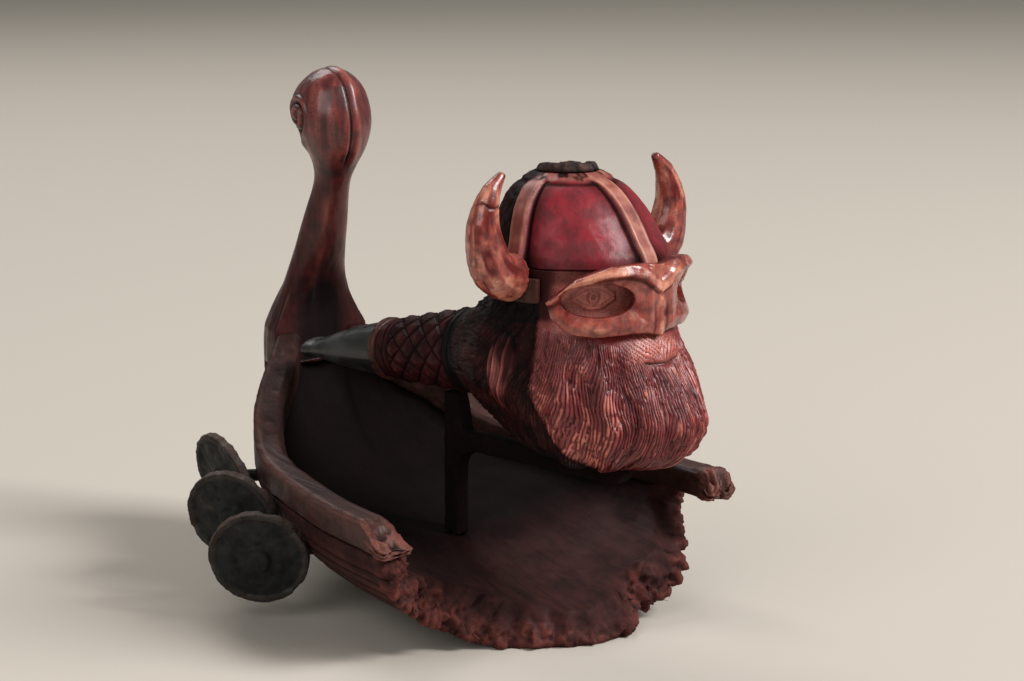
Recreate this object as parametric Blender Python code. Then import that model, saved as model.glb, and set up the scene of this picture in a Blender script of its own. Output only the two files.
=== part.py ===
# Tobacco pipe carved as a bearded head in a horned helmet, lying in a ship-shaped stand with a broken bow.
# Metres, +Z up, table at z = 0. The broken bow points to -Y and the stern post stands at +Y.
import bmesh
import bpy
from math import asin, atan2, cos, hypot, pi, radians, sin, tan
from mathutils import Matrix, Vector
from mathutils.bvhtree import BVHTree

GAP = 0.0003  # clearance between pieces that touch
WELD = 1e-6  # points nearer than this are one point
SIDES = (("starboard", -1), ("port", 1))  # sides of the ship and the way each lies along X
HANDS = (("right", -1), ("left", 1))  # the same sides, named for the carved head
PEG_SIDES = 10
ROD_SIDES = 14
NUDGE = 0.0005  # step along a curve that its direction is read from
PARALLEL = 1e-12  # two directions whose cross product is under this don't meet

# Ship hull: stations are (place along Y, size)
STERN_Y = 0.083  # where the rails meet the post
STERN_HALF_WIDTH = 0.0140
HALF_BEAM = 0.0485  # half-breadth of the ship at its broken bow
RAIL_LINE = ((-0.030, HALF_BEAM), (0.000, 0.977 * HALF_BEAM), (0.040, 0.825 * HALF_BEAM),
             (0.055, 0.742 * HALF_BEAM), (0.067, 0.619 * HALF_BEAM),
             (STERN_Y, STERN_HALF_WIDTH))  # half-breadth at the outer edge of the rails
SHEER_LINE = ((-0.030, 0.0330), (0.040, 0.0330), (0.055, 0.0350), (0.067, 0.0425),
              (STERN_Y, 0.0565))  # height of the rail tops
STERN_DEPTH = 0.019  # round of the stern behind that place
FAN_Y = 0.050  # ribs lie across the ship as far as here, then fan out round the stern
KEEL_SINK = 0.002  # carved round of the keel that the flat bottom cuts off
KEEL_LEVEL_END = 0.025
KEEL_RISE = 0.008
FLOOR_FORE = 0.0085  # inside floor height at the bow end of the level keel
FLOOR_FORE_Y = -0.020
FLOOR_SLOPE = 0.22
WALL = 0.0068
STERN_WALL = 0.016
BILGE = 1.7  # roundness of the ribs: 2 is an ellipse
LIP_LINE = ((-1.0, -0.018), (-0.6, -0.0135), (-0.27, -0.0205), (0.06, -0.029), (0.30, -0.0275),
            (0.42, -0.0200), (0.60, -0.0225), (0.78, -0.0180), (0.90, -0.0105),
            (1.0, -0.0045))  # broken edge across the ship
LIP_SETBACK = 0.004  # the break slopes back towards the inside
LIP_TEETH = 0.0012
LIP_WAVES = ((41, 0.6, 0.6), (67, 0.0, 0.4))  # turn rate across the ship, start and share of each row of teeth
RIB_STEPS = 18
SIDE_ROWS = 9
FAN_SIDE_ROWS = 9
FAN_END_ROWS = 4

# Rails
RAIL_WIDTH = 0.0074
RAIL_HEIGHT = 0.0068
RAIL_ROUND = 0.0012
RAIL_END_STARBOARD = -0.0185
RAIL_END_PORT = -0.0225

# Stern post: (height, half-width, place of its sides behind STERN_Y, front bulge, back bulge)
POST_SET_IN = 0.001  # the post's foot stands in from the round of the stern
POST_SECTIONS = ((0.0560, STERN_HALF_WIDTH, 0.0004, 0.0004, STERN_DEPTH - POST_SET_IN),
                 (0.0610, 0.0114, 0.0018, 0.0020, 0.0145), (0.0660, 0.0093, 0.0024, 0.0034, 0.0105),
                 (0.0700, 0.0082, 0.0022, 0.0042, 0.0076), (0.0762, 0.0068, 0.0007, 0.0054, 0.0064),
                 (0.0830, 0.0056, -0.0015, 0.0060, 0.0060), (0.0898, 0.0046, -0.0038, 0.0052, 0.0052))
# Scroll on the post, which curls backwards over a small nub
SCROLL_SECTIONS = ((0.0965, 0.0041, -0.0063, 0.0047, 0.0047), (0.1004, 0.0054, -0.0075, 0.0062, 0.0060),
                   (0.1043, 0.0070, -0.0081, 0.0080, 0.0092), (0.1082, 0.0086, -0.0070, 0.0097, 0.0099),
                   (0.1120, 0.0095, -0.0058, 0.0109, 0.0109), (0.1159, 0.0090, -0.0050, 0.0100, 0.0102),
                   (0.1198, 0.0070, -0.0057, 0.0082, 0.0082), (0.1226, 0.0038, -0.0057, 0.0044, 0.0044))
POST_TOP = 0.1238
POST_SIDES = 24
POST_STEP = 0.0030
POST_DOWEL_RADIUS = 0.0018
POST_DOWEL_DEPTH = 0.008
POST_DOWEL_SPREAD = 0.0065
POST_DOWEL_BACK = 0.47  # share of the stern's round behind STERN_Y

# Shields: name, place on the rail line, height of the middle, distance out from the rail, turn to the bow
SHIELDS = (("fore", 0.0290, 0.0165, 0.0075, radians(62)), ("mid", 0.0440, 0.0225, 0.0085, radians(46)),
           ("aft", 0.0600, 0.0270, 0.0062, radians(25)))
SHIELD_RADIUS = 0.0118
SHIELD_THICKNESS = 0.0024
SHIELD_RIM = 0.0014
SHIELD_DISH = 0.0005
SHIELD_BOSS_RADIUS = 0.0032
SHIELD_BOSS_HEIGHT = 0.0018
SHIELD_BOSS_STEPS = ((0.8, 0.7), (0.35, 1.0))  # shares of the boss's radius and height
SHIELD_LEAN = radians(-15)  # the faces look down a little
SHIELD_SIDES = 24
PEG_RADIUS = 0.0015
PEG_DEPTH = 0.003
PEG_IN_SHIELD = 0.0012

# Pipe: sizes below are in the pipe's own frame, with its face towards -Y
PIPE_HEIGHT = 0.066
PIPE_TURN = radians(10)
HEAD_Y = -0.021  # middle of the head and of the helmet's foot
CROWN_Y = -0.017  # middle of the chamber and of the helmet's top, which leans back
# Head: (height, half-width, front, back)
HEAD_SECTIONS = ((-0.0230, 0.0120, -0.0410, -0.0130), (-0.0215, 0.0158, -0.0465, -0.0060),
                 (-0.0180, 0.0195, -0.0510, 0.0010), (-0.0130, 0.0214, -0.0528, 0.0080),
                 (-0.0060, 0.0217, -0.0500, 0.0125), (0.0000, 0.0212, -0.0465, 0.0130),
                 (0.0060, 0.0206, -0.0432, 0.0095), (0.0100, 0.0203, -0.0405, 0.0040),
                 (0.0140, 0.0202, -0.0396, -0.0008), (0.0217, 0.0202, -0.0402, -0.0008))
HEAD_SIDES = 40
HEAD_ARC = 0.021  # radius that distances round the head are measured on
# Beard: thick locks down the front, and a neck that draws in behind them
BEARD_TOP = 0.005
BEARD_LOCK_PITCH = 0.0081
BEARD_LOCK_HEIGHT = 0.0008
BEARD_EDGE = (radians(66), radians(84))  # from the middle of the face
NECK_DEPTH = 0.0050
NECK_HEIGHTS = (-0.003, -0.018)
HEAD_STEP = 0.0028
SHANK_START_Y = -0.004
SHANK_END_Y = 0.0385
SHANK_END_Z = -0.0072
SHANK_SLOPE = radians(7.1)
SHANK_RADIUS_END = 0.0072
SHANK_RADIUS_NAPE = 0.0118
SHANK_SIDES = 24
SHANK_ROWS = 9

# Tobacco chamber and draught
LINER_RADIUS = 0.0062
CHAMBER_RADIUS = 0.0050
CHAMBER_BOTTOM = 0.005
LINER_BOTTOM = 0.001
LINER_SEAT = 0.0408
LINER_RIM_RADIUS = 0.0074
LINER_RIM_HEIGHT = 0.0022
DRAUGHT_RADIUS = 0.0014
AIR_SPACE = 0.005  # space under the liner that the draught hole opens into
TURN_SIDES = 24

# Helmet: (height, radius) of the dome between its seat and the liner's rim
DOME_LINE = ((0.0220, 0.0203), (0.0240, 0.0200), (0.0270, 0.0187), (0.0300, 0.0175), (0.0340, 0.0155),
             (0.0375, 0.0125), (0.0405, 0.0078))
DOME_ROWS = 9
STRAP_WIDTH = 0.0042
STRAP_RAISE = 0.0010
STRAP_EDGE = 0.0005
STRAPS = 4
PANEL_STEPS = 4
BAND_BOTTOM = 0.0145
BAND_HEIGHT = 0.0054
BAND_THICKNESS = 0.0016
BAND_START = radians(72)  # angle from the middle of the face
BAND_ROWS = 24

# Spectacle guard: half outline as (distance round from the nose, height), and its eye opening
GUARD_OUTLINE = ((0.0, 0.0228), (0.0055, 0.0235), (0.0117, 0.0232), (0.0190, 0.0206), (0.0248, 0.0155),
                 (0.0238, 0.0118), (0.0205, 0.0086), (0.0150, 0.0078), (0.0070, 0.0082), (0.0030, 0.0080),
                 (0.0, 0.0072))
GUARD_THICKNESS = 0.0018
GUARD_RIDGE = 0.0009  # extra thickness along the middle of the guard's frame
GUARD_RIDGE_AT = 0.55  # share of the way from the eye opening to the outline
EYE_CENTRE = (0.0142, 0.0158)
EYE_HALF_WIDTH = 0.0078
EYE_HALF_HEIGHT = 0.0037
GUARD_RAYS = 24

# Horns: (out from the head's middle, height, radius) along each horn
HORN_LINE = ((0.0150, 0.0205, 0.0050), (0.0208, 0.0197, 0.0053), (0.0258, 0.0208, 0.0052),
             (0.0294, 0.0252, 0.0046), (0.0306, 0.0314, 0.0037), (0.0288, 0.0378, 0.0025),
             (0.0247, 0.0425, 0.0009))
HORN_SIDES = 14
HORN_ROWS = 16
HORN_NUDGE = 0.01  # share of the horn's length that its direction is read over
HORN_PEG_RADIUS = 0.0016
HORN_PEG_IN_HORN = 0.006
HORN_PEG_IN_HEAD = 0.005
HORN_PEG_HEIGHT = 0.0200

# Shank ring, tenon and mouthpiece, measured from the end of the shank along its axis
RING_LENGTH = 0.0024
RING_RADIUS = 0.0077
TENON_RADIUS = 0.0040
TENON_IN_SHANK = 0.016
TENON_IN_MOUTHPIECE = 0.008
MORTISE_SPARE = 0.001
# Mouthpiece: (distance, half-width, half-thickness)
MOUTHPIECE_SECTIONS = ((0.0, 0.0067, 0.0067), (0.0045, 0.0064, 0.0062), (0.0130, 0.0058, 0.0048),
                       (0.0208, 0.0054, 0.0031), (0.0243, 0.0052, 0.0023), (0.0254, 0.0055, 0.0028),
                       (0.0268, 0.0053, 0.0025))
MOUTHPIECE_ROWS = 14

# Cradle under the pipe, in the pipe's frame
REST_THICKNESS = 0.0042
REST_BACK_Y = 0.0205
REST_FRONT_Y = 0.0163
REST_ARM_END_Y = -0.033
REST_ARM_HEIGHT = 0.0045
REST_ARM_STEPS = 6
REST_KNEE = 0.006
REST_KNEE_STEPS = 4
REST_DOWEL_RADIUS = 0.0011
REST_DOWEL_IN_POST = 0.007
REST_DOWEL_IN_HULL = 0.005


def slope_at(places, values, k):
    if k == 0 or k == len(places) - 1:
        near = 1 if k == 0 else k
        return (values[near] - values[near - 1]) / (places[near] - places[near - 1])
    before = (values[k] - values[k - 1]) / (places[k] - places[k - 1])
    after = (values[k + 1] - values[k]) / (places[k + 1] - places[k])
    if before * after <= 0:
        return 0.0
    return 2 * before * after / (before + after)


# Smooth curve without overshoot through stations, read at one place
def along(stations, at, column=1):
    places = [station[0] for station in stations]
    values = [station[column] for station in stations]
    if at <= places[0]:
        return values[0]
    if at >= places[-1]:
        return values[-1]
    k = max(i for i in range(len(places) - 1) if places[i] <= at)
    width = places[k + 1] - places[k]
    t = (at - places[k]) / width
    start = slope_at(places, values, k) * width
    end = slope_at(places, values, k + 1) * width
    return ((2 * t**3 - 3 * t**2 + 1) * values[k] + (t**3 - 2 * t**2 + t) * start
            + (3 * t**2 - 2 * t**3) * values[k + 1] + (t**3 - t**2) * end)


def spaced(first, last, steps):
    return [first + (last - first) * i / steps for i in range(steps + 1)]


# Skin over rings of points, with flat ends, or joined end to end
def add_loft(bm, rings, closed=False):
    rows = [[bm.verts.new(point) for point in ring] for ring in rings]
    pairs = list(zip(rows, rows[1:]))
    if closed:
        pairs.append((rows[-1], rows[0]))
    for ring, following in pairs:
        for i in range(len(ring)):
            j = (i + 1) % len(ring)
            bm.faces.new((ring[i], ring[j], following[i]))
            bm.faces.new((ring[j], following[j], following[i]))
    if not closed:
        bm.faces.new(rows[0])
        bm.faces.new(rows[-1])


def circle(centre, across, up, radius, sides):
    points = []
    for i in range(sides):
        angle = 2 * pi * i / sides
        points.append(centre + across * (radius * cos(angle)) + up * (radius * sin(angle)))
    return points


def add_rod(bm, start, end, radius, sides=ROD_SIDES):
    axis = (end - start).normalized()
    across = axis.orthogonal().normalized()
    up = axis.cross(across)
    add_loft(bm, [circle(start, across, up, radius, sides), circle(end, across, up, radius, sides)])


# Turned shape about the local Z axis from (radius, height) points
def add_turned(bm, profile, sides, closed=False):
    x, y = Vector((1, 0, 0)), Vector((0, 1, 0))
    add_loft(bm, [circle(Vector((0, 0, z)), x, y, r, sides) for r, z in profile], closed)


def finish_mesh(bm, name):
    bmesh.ops.remove_doubles(bm, verts=bm.verts, dist=WELD)
    bmesh.ops.recalc_face_normals(bm, faces=bm.faces)
    mesh = bpy.data.meshes.new(name)
    bm.to_mesh(mesh)
    bm.free()
    mesh.shade_smooth()
    mesh.set_sharp_from_angle(angle=radians(40))
    return mesh


def add_object(name, mesh, parent=None):
    item = bpy.data.objects.new(name, mesh)
    bpy.context.collection.objects.link(item)
    item.parent = parent
    return item


def add_piece(name, bm, colour, roughness, parent=None):
    item = add_object(name, finish_mesh(bm, name), parent)
    material = bpy.data.materials.new(name + "_finish")
    material.use_nodes = True
    shader = material.node_tree.nodes["Principled BSDF"]
    shader.inputs["Base Color"].default_value = (*colour, 1.0)
    shader.inputs["Roughness"].default_value = roughness
    item.data.materials.append(material)
    return item


# Shape that is only cut away from, or joined to, other pieces
def add_tool(name, bm, parent=None):
    item = add_object(name, finish_mesh(bm, name), parent)
    item.hide_render = True
    item.display_type = "WIRE"
    return item


def combine(piece, tool, operation="DIFFERENCE"):
    modifier = piece.modifiers.new(tool.name, "BOOLEAN")
    modifier.operation = operation
    modifier.solver = "EXACT"
    modifier.object = tool


DARK_HULL = (0.050, 0.022, 0.018)
DARK_RAIL = (0.095, 0.035, 0.028)
POST_RED = (0.150, 0.030, 0.026)
SHIELD_BLACK = (0.020, 0.024, 0.023)
HEAD_BROWN = (0.200, 0.062, 0.045)
HORN_ORANGE = (0.400, 0.140, 0.080)
HELMET_CRIMSON = (0.250, 0.025, 0.035)
CHAR_BLACK = (0.020, 0.014, 0.011)
PEG_WOOD = (0.300, 0.180, 0.100)
STEM_BLACK = (0.012, 0.012, 0.011)
BARE, SATIN, WAXED, VARNISHED, POLISHED = 0.75, 0.5, 0.45, 0.33, 0.22  # roughness of the finishes


def rail_line(y):
    return along(RAIL_LINE, y)


def sheer(y):
    return along(SHEER_LINE, y)


# Top edge of the hull, one rail height under the rail's top measured square to the rail
def land(y):
    y = min(y, STERN_Y)
    middle = min(y, STERN_Y - NUDGE)
    climb = (sheer(middle + NUDGE) - sheer(middle - NUDGE)) / (2 * NUDGE)
    return sheer(y) - RAIL_HEIGHT * hypot(1, climb)


def keel(y):
    rise = max(0.0, (y - KEEL_LEVEL_END) / (FAN_Y - KEEL_LEVEL_END))
    return KEEL_RISE * rise**2 - KEEL_SINK


def floor_height(y):
    return FLOOR_FORE + FLOOR_SLOPE * (y - FLOOR_FORE_Y)


# Broken edge of the bow; across runs from -1 at the starboard rail to 1 at the port rail
def lip(across):
    teeth = sum(share * sin(rate * across + start) for rate, start, share in LIP_WAVES)
    return along(LIP_LINE, across) + LIP_TEETH * teeth


def plan_normal(y):
    lean = (rail_line(y + NUDGE) - rail_line(y - NUDGE)) / (2 * NUDGE)
    return Vector((1, -lean, 0)).normalized()


# Level way in from the rail's outer edge: straight across amidships and at the post, and square to the
# rail in the sweep between them
def inward(y):
    share = min(1.0, max(0.0, (y - FAN_Y) / (STERN_Y - FAN_Y)))
    return -Vector((1, 0, 0)).lerp(plan_normal(y), sin(pi * share)).normalized()


# Quarter of a superellipse from the hull's edge down and in to the spine
def rib_point(edge, spine, turn):
    reach = max(0.0, cos(turn * pi / 2)) ** (2 / BILGE)
    drop = sin(turn * pi / 2) ** (2 / BILGE)
    flat = spine.lerp(edge, reach)
    return Vector((flat.x, flat.y, edge.z - (edge.z - spine.z) * drop))


def side_rib(side, share, inside):
    points = []
    for step in range(RIB_STEPS + 1):
        turn = step / RIB_STEPS
        reach = max(0.0, cos(turn * pi / 2)) ** (2 / BILGE)
        start = lip(side * reach) + LIP_SETBACK * inside
        y = start + (FAN_Y - start) * share
        edge = Vector((side * (rail_line(y) - WALL * inside), y, land(y)))
        spine = Vector((0, y, floor_height(y) if inside else keel(y)))
        points.append(rib_point(edge, spine, turn))
    return points


def fan_rib(side, edge, inside):
    spine = Vector((0, FAN_Y, floor_height(FAN_Y) if inside else keel(FAN_Y)))
    edge = Vector((side * edge.x, edge.y, edge.z))
    return [rib_point(edge, spine, step / RIB_STEPS) for step in range(RIB_STEPS + 1)]


# Outer and inner edge of the hull's top from the first fan rib round to the tip of the stern
def stern_edges():
    edges = []
    for y in spaced(FAN_Y, STERN_Y, FAN_SIDE_ROWS):
        outer = Vector((rail_line(y), y, land(y)))
        edges.append((outer, outer + inward(y) * WALL))
    half_width = rail_line(STERN_Y)
    for angle in spaced(0, pi / 2, FAN_END_ROWS)[1:]:
        across, back = max(0.0, cos(angle)), sin(angle)
        outer = Vector((half_width * across, STERN_Y + STERN_DEPTH * back, land(STERN_Y)))
        inner = Vector(((half_width - WALL) * across, STERN_Y + (STERN_DEPTH - STERN_WALL) * back, outer.z))
        edges.append((outer, inner))
    return edges


def hull_ribs(inside):
    halves = []
    for side in (-1, 1):
        ribs = [side_rib(side, share, inside) for share in spaced(0, 1, SIDE_ROWS)]
        ribs += [fan_rib(side, edges[inside], inside) for edges in stern_edges()[1:]]
        halves.append(ribs)
    return halves[0] + halves[1][-2::-1]


def hull_shape():
    bm = bmesh.new()
    outer = [[bm.verts.new(p) for p in rib] for rib in hull_ribs(False)]
    inner = [[bm.verts.new(p) for p in rib] for rib in hull_ribs(True)]
    for skin in (outer, inner):
        for rib, following in zip(skin, skin[1:]):
            for k in range(RIB_STEPS):
                bm.faces.new((rib[k], rib[k + 1], following[k + 1], following[k]))
    for k in range(len(outer) - 1):
        near, far = (k, k + 1) if k < len(outer) // 2 else (k + 1, k)
        bm.faces.new((outer[near][0], outer[far][0], inner[far][0]))
        bm.faces.new((outer[near][0], inner[far][0], inner[near][0]))
    for end in (0, -1):
        for k in range(RIB_STEPS):
            bm.faces.new((outer[end][k], inner[end][k], inner[end][k + 1], outer[end][k + 1]))
    bmesh.ops.remove_doubles(bm, verts=bm.verts, dist=WELD)
    bmesh.ops.recalc_face_normals(bm, faces=bm.faces)
    return bm


# Block under the table plane that leaves the hull a flat bottom
def make_base_cut():
    bm = bmesh.new()
    side = 2 * (STERN_Y + STERN_DEPTH)
    depth = 4 * KEEL_SINK
    place = Matrix.Translation((0, 0, -depth / 2)) @ Matrix.Diagonal((side, side, depth, 1))
    bmesh.ops.create_cube(bm, size=1, matrix=place)
    return add_tool("base_cut", bm)


# Rail strip with a rounded top, on the same rows as the hull's edge
def make_rail(name, side, end_y):
    bm = bmesh.new()
    rings = []
    start = lip(side)
    rows = [start + (FAN_Y - start) * share for share in spaced(0, 1, SIDE_ROWS)]
    rows = [end_y] + [y for y in rows if y > end_y + RAIL_ROUND]
    rows += spaced(FAN_Y, STERN_Y - GAP, FAN_SIDE_ROWS)[1:]
    for y in rows:
        outer = Vector((rail_line(y), y, 0))
        low = land(y) + GAP
        high = sheer(y)
        section = ((0, low), (0, high - RAIL_ROUND), (RAIL_ROUND, high), (RAIL_WIDTH - RAIL_ROUND, high),
                   (RAIL_WIDTH, high - RAIL_ROUND), (RAIL_WIDTH, low))
        ring = []
        for across, z in section:
            point = outer + inward(y) * across
            ring.append(Vector((side * point.x, point.y, z)))
        rings.append(ring)
    add_loft(bm, rings)
    return add_piece(name, bm, DARK_RAIL, SATIN)


def post_ring(half_width, sides_y, front, back, z):
    ring = []
    for i in range(POST_SIDES):
        angle = 2 * pi * i / POST_SIDES
        depth = back if cos(angle) > 0 else front
        ring.append(Vector((half_width * sin(angle), STERN_Y + sides_y + depth * cos(angle), z)))
    return ring


def make_stern_post():
    bm = bmesh.new()
    sections = POST_SECTIONS + SCROLL_SECTIONS
    bottom = land(STERN_Y) + GAP
    top = sections[-1][0]
    rings = []
    for z in spaced(bottom, top, round((top - bottom) / POST_STEP)):
        rings.append(post_ring(*[along(sections, z, column) for column in (1, 2, 3, 4)], z))
    add_loft(bm, rings)
    last = sections[-1]
    crown = bm.verts.new((0, STERN_Y + last[2], POST_TOP))
    bm.faces.ensure_lookup_table()
    cap = bm.faces[-1]
    edges = list(cap.edges)
    bm.faces.remove(cap)
    for edge in edges:
        bm.faces.new((*edge.verts, crown))
    return add_piece("stern_post", bm, POST_RED, VARNISHED)


def post_dowel_places():
    y = STERN_Y + POST_DOWEL_BACK * STERN_DEPTH
    return [(word, Vector((side * POST_DOWEL_SPREAD, y, land(STERN_Y)))) for word, side in SIDES]


def add_post_dowel(bm, place, clearance):
    reach = Vector((0, 0, POST_DOWEL_DEPTH + clearance))
    add_rod(bm, place - reach, place + reach, POST_DOWEL_RADIUS + clearance)


# Middle, way out from the hull and facing of each shield
def shield_seats():
    seats = []
    for word, side in SIDES:
        mirror = Matrix.Diagonal((side, 1, 1))
        for name, y, z, offset, turn in SHIELDS:
            outward = plan_normal(y)
            middle = Vector((rail_line(y), y, z)) + outward * offset
            facing = Matrix.Rotation(-turn, 3, "Z") @ outward
            seats.append((f"{word}_{name}", mirror @ middle, mirror @ outward, mirror @ facing))
    return seats


def shield_shape():
    radius, thick, rim = SHIELD_RADIUS, SHIELD_THICKNESS, SHIELD_RIM
    bm = bmesh.new()
    boss = SHIELD_BOSS_RADIUS
    profile = [(radius, 0), (radius, thick), (radius - rim, thick), (radius - rim, thick - SHIELD_DISH),
               (boss, thick)]
    profile += [(boss * wide, thick + SHIELD_BOSS_HEIGHT * high) for wide, high in SHIELD_BOSS_STEPS]
    add_turned(bm, profile, SHIELD_SIDES)
    return bm


def make_shields(peg_holes):
    for name, middle, outward, facing in shield_seats():
        shield = add_piece("shield_" + name, shield_shape(), SHIELD_BLACK, SATIN)
        normal = facing * cos(SHIELD_LEAN) + Vector((0, 0, sin(SHIELD_LEAN)))
        shield.location = middle
        shield.rotation_euler = normal.to_track_quat("Z", "Y").to_euler()
        combine(shield, peg_holes)


# A peg runs level from inside the hull's side into the back of its shield
def add_shield_peg(bm, hull_tree, middle, outward, clearance):
    hit = hull_tree.ray_cast(middle, -outward)[0]
    start = hit - outward * (PEG_DEPTH + clearance)
    end = middle + outward * (PEG_IN_SHIELD + clearance)
    add_rod(bm, start, end, PEG_RADIUS + clearance, PEG_SIDES)


# Height of the shank's underside at a place along the pipe
def shank_underside(y):
    share = (SHANK_END_Y - y) / (SHANK_END_Y - SHANK_START_Y)
    radius = SHANK_RADIUS_END + (SHANK_RADIUS_NAPE - SHANK_RADIUS_END) * share
    return SHANK_END_Z + (SHANK_END_Y - y) * tan(SHANK_SLOPE) - radius / cos(SHANK_SLOPE)


def ease(low, high, value):
    share = min(1.0, max(0.0, (value - low) / (high - low)))
    return share * share * (3 - 2 * share)


# Height of the carving over the plain head, by the angle from the middle of the face
def head_relief(angle, z):
    behind = ease(*BEARD_EDGE, abs(angle))
    locks = BEARD_LOCK_HEIGHT * cos(2 * pi * HEAD_ARC * angle / BEARD_LOCK_PITCH)
    beard = ease(BEARD_TOP, BEARD_TOP - BEARD_LOCK_PITCH, z) * (1 - behind)
    return locks * beard - NECK_DEPTH * behind * ease(*NECK_HEIGHTS, z)


def head_ring(z):
    half_width, front, back = [along(HEAD_SECTIONS, z, column) for column in (1, 2, 3)]
    ring = []
    for i in range(HEAD_SIDES):
        angle = 2 * pi * i / HEAD_SIDES
        relief = head_relief(pi - angle, z)
        reach = relief + (back - HEAD_Y if cos(angle) > 0 else HEAD_Y - front)
        ring.append(Vector(((half_width + relief) * sin(angle), HEAD_Y + reach * cos(angle), z)))
    return ring


def make_pipe_block(pipe, shank_end):
    bm = bmesh.new()
    low, high = HEAD_SECTIONS[0][0], HEAD_SECTIONS[-1][0]
    add_loft(bm, [head_ring(z) for z in spaced(low, high, round((high - low) / HEAD_STEP))])
    block = add_piece("pipe_block", bm, HEAD_BROWN, WAXED, pipe)

    bm = bmesh.new()
    length = (SHANK_END_Y - SHANK_START_Y) / cos(SHANK_SLOPE)
    profile = []
    for share in spaced(0, 1, SHANK_ROWS):
        profile.append((SHANK_RADIUS_END + (SHANK_RADIUS_NAPE - SHANK_RADIUS_END) * share, -length * share))
    add_turned(bm, profile, SHANK_SIDES)
    combine(block, add_tool("shank_form", bm, shank_end), "UNION")

    bm = bmesh.new()
    bottom = Vector((0, CROWN_Y, LINER_BOTTOM - AIR_SPACE))
    add_rod(bm, bottom, Vector((0, CROWN_Y, LINER_SEAT)), LINER_RADIUS + GAP, TURN_SIDES)
    combine(block, add_tool("liner_bore", bm, pipe))

    bm = bmesh.new()
    mortise = TENON_IN_SHANK + MORTISE_SPARE
    add_rod(bm, Vector((0, 0, -mortise)), Vector((0, 0, mortise)), TENON_RADIUS + GAP, TURN_SIDES)
    combine(block, add_tool("mortise", bm, shank_end))

    bm = bmesh.new()
    to_bore = (SHANK_END_Y - CROWN_Y) / cos(SHANK_SLOPE)
    add_rod(bm, Vector((0, 0, -to_bore)), Vector((0, 0, -TENON_IN_SHANK)), DRAUGHT_RADIUS)
    combine(block, add_tool("draught_hole", bm, shank_end))
    return block


def make_bowl_liner(pipe):
    bm = bmesh.new()
    top = LINER_SEAT + GAP + LINER_RIM_HEIGHT
    profile = [(DRAUGHT_RADIUS, LINER_BOTTOM), (LINER_RADIUS, LINER_BOTTOM), (LINER_RADIUS, LINER_SEAT + GAP),
               (LINER_RIM_RADIUS, LINER_SEAT + GAP), (LINER_RIM_RADIUS, top - LINER_RIM_HEIGHT / 3),
               (LINER_RIM_RADIUS - LINER_RIM_HEIGHT / 3, top), (CHAMBER_RADIUS, top),
               (CHAMBER_RADIUS, CHAMBER_BOTTOM), (DRAUGHT_RADIUS, CHAMBER_BOTTOM)]
    add_turned(bm, profile, TURN_SIDES, closed=True)
    liner = add_piece("bowl_liner", bm, CHAR_BLACK, BARE, pipe)
    liner.location.y = CROWN_Y
    return liner


# Ring of the dome whose four straps keep their width at every radius
def dome_ring(radius, raise_by, z, lean):
    ring = []
    middle = lean * (CROWN_Y - HEAD_Y)
    quarter = 2 * pi / STRAPS
    top_half = asin(STRAP_WIDTH / 2 / radius)
    foot_half = asin((STRAP_WIDTH / 2 + STRAP_EDGE) / radius)
    offsets = [(-top_half, raise_by), (0, raise_by), (top_half, raise_by)]
    offsets += [(angle, 0) for angle in spaced(foot_half, quarter - foot_half, PANEL_STEPS)]
    for strap in range(STRAPS):
        for offset, lift in offsets:
            angle = strap * quarter + offset
            ring.append(Vector(((radius + lift) * sin(angle), middle - (radius + lift) * cos(angle), z)))
    return ring


def make_helmet(pipe, horn_holes):
    bm = bmesh.new()
    low, high = DOME_LINE[0][0], DOME_LINE[-1][0]
    bore = LINER_RADIUS + GAP
    rings = [dome_ring(bore, 0, low, 1)]
    for z in spaced(low, high, DOME_ROWS):
        rings.append(dome_ring(along(DOME_LINE, z), STRAP_RAISE, z, (z - low) / (high - low)))
    rings += [dome_ring(LINER_RIM_RADIUS, 0, LINER_SEAT, 1), dome_ring(bore, 0, LINER_SEAT, 1)]
    add_loft(bm, rings, closed=True)
    helmet = add_piece("helmet", bm, HELMET_CRIMSON, VARNISHED, pipe)
    helmet.location.y = HEAD_Y
    combine(helmet, horn_holes)
    return helmet


def band_radius():
    return max(section[1] for section in HEAD_SECTIONS if section[0] >= BAND_BOTTOM) + GAP


def make_brow_band(pipe, horn_holes):
    bm = bmesh.new()
    inner = band_radius()
    outer = inner + BAND_THICKNESS
    rings = []
    for angle in spaced(BAND_START, 2 * pi - BAND_START, BAND_ROWS):
        ray = Vector((sin(angle), -cos(angle), 0))
        low = Vector((0, 0, BAND_BOTTOM))
        high = Vector((0, 0, BAND_BOTTOM + BAND_HEIGHT))
        rings.append([ray * inner + low, ray * outer + low, ray * outer + high, ray * inner + high])
    add_loft(bm, rings)
    band = add_piece("brow_band", bm, HEAD_BROWN, WAXED, pipe)
    band.location.y = HEAD_Y
    combine(band, horn_holes)
    return band


# Where a ray from the eye's middle leaves the guard's half outline
def guard_edge(angle):
    ray = Vector((cos(angle), sin(angle)))
    middle = Vector(EYE_CENTRE)
    best = None
    for a, b in zip(GUARD_OUTLINE, GUARD_OUTLINE[1:] + GUARD_OUTLINE[:1]):
        a, b = Vector(a) - middle, Vector(b) - middle
        turn = ray.cross(b - a)
        if abs(turn) < PARALLEL:
            continue
        distance = a.cross(b - a) / turn
        share = a.cross(ray) / turn
        if distance > 0 and -WELD <= share <= 1 + WELD:
            best = distance if best is None else min(best, distance)
    return middle + ray * best


def guard_angles():
    middle = Vector(EYE_CENTRE)
    corners = [atan2(z - middle.y, s - middle.x) for s, z in GUARD_OUTLINE]
    apart = pi / GUARD_RAYS
    between = [angle for angle in spaced(-pi, pi, GUARD_RAYS)[1:]
               if all(abs(angle - corner) > apart / 2 for corner in corners)]
    return sorted(corners + between)


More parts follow.
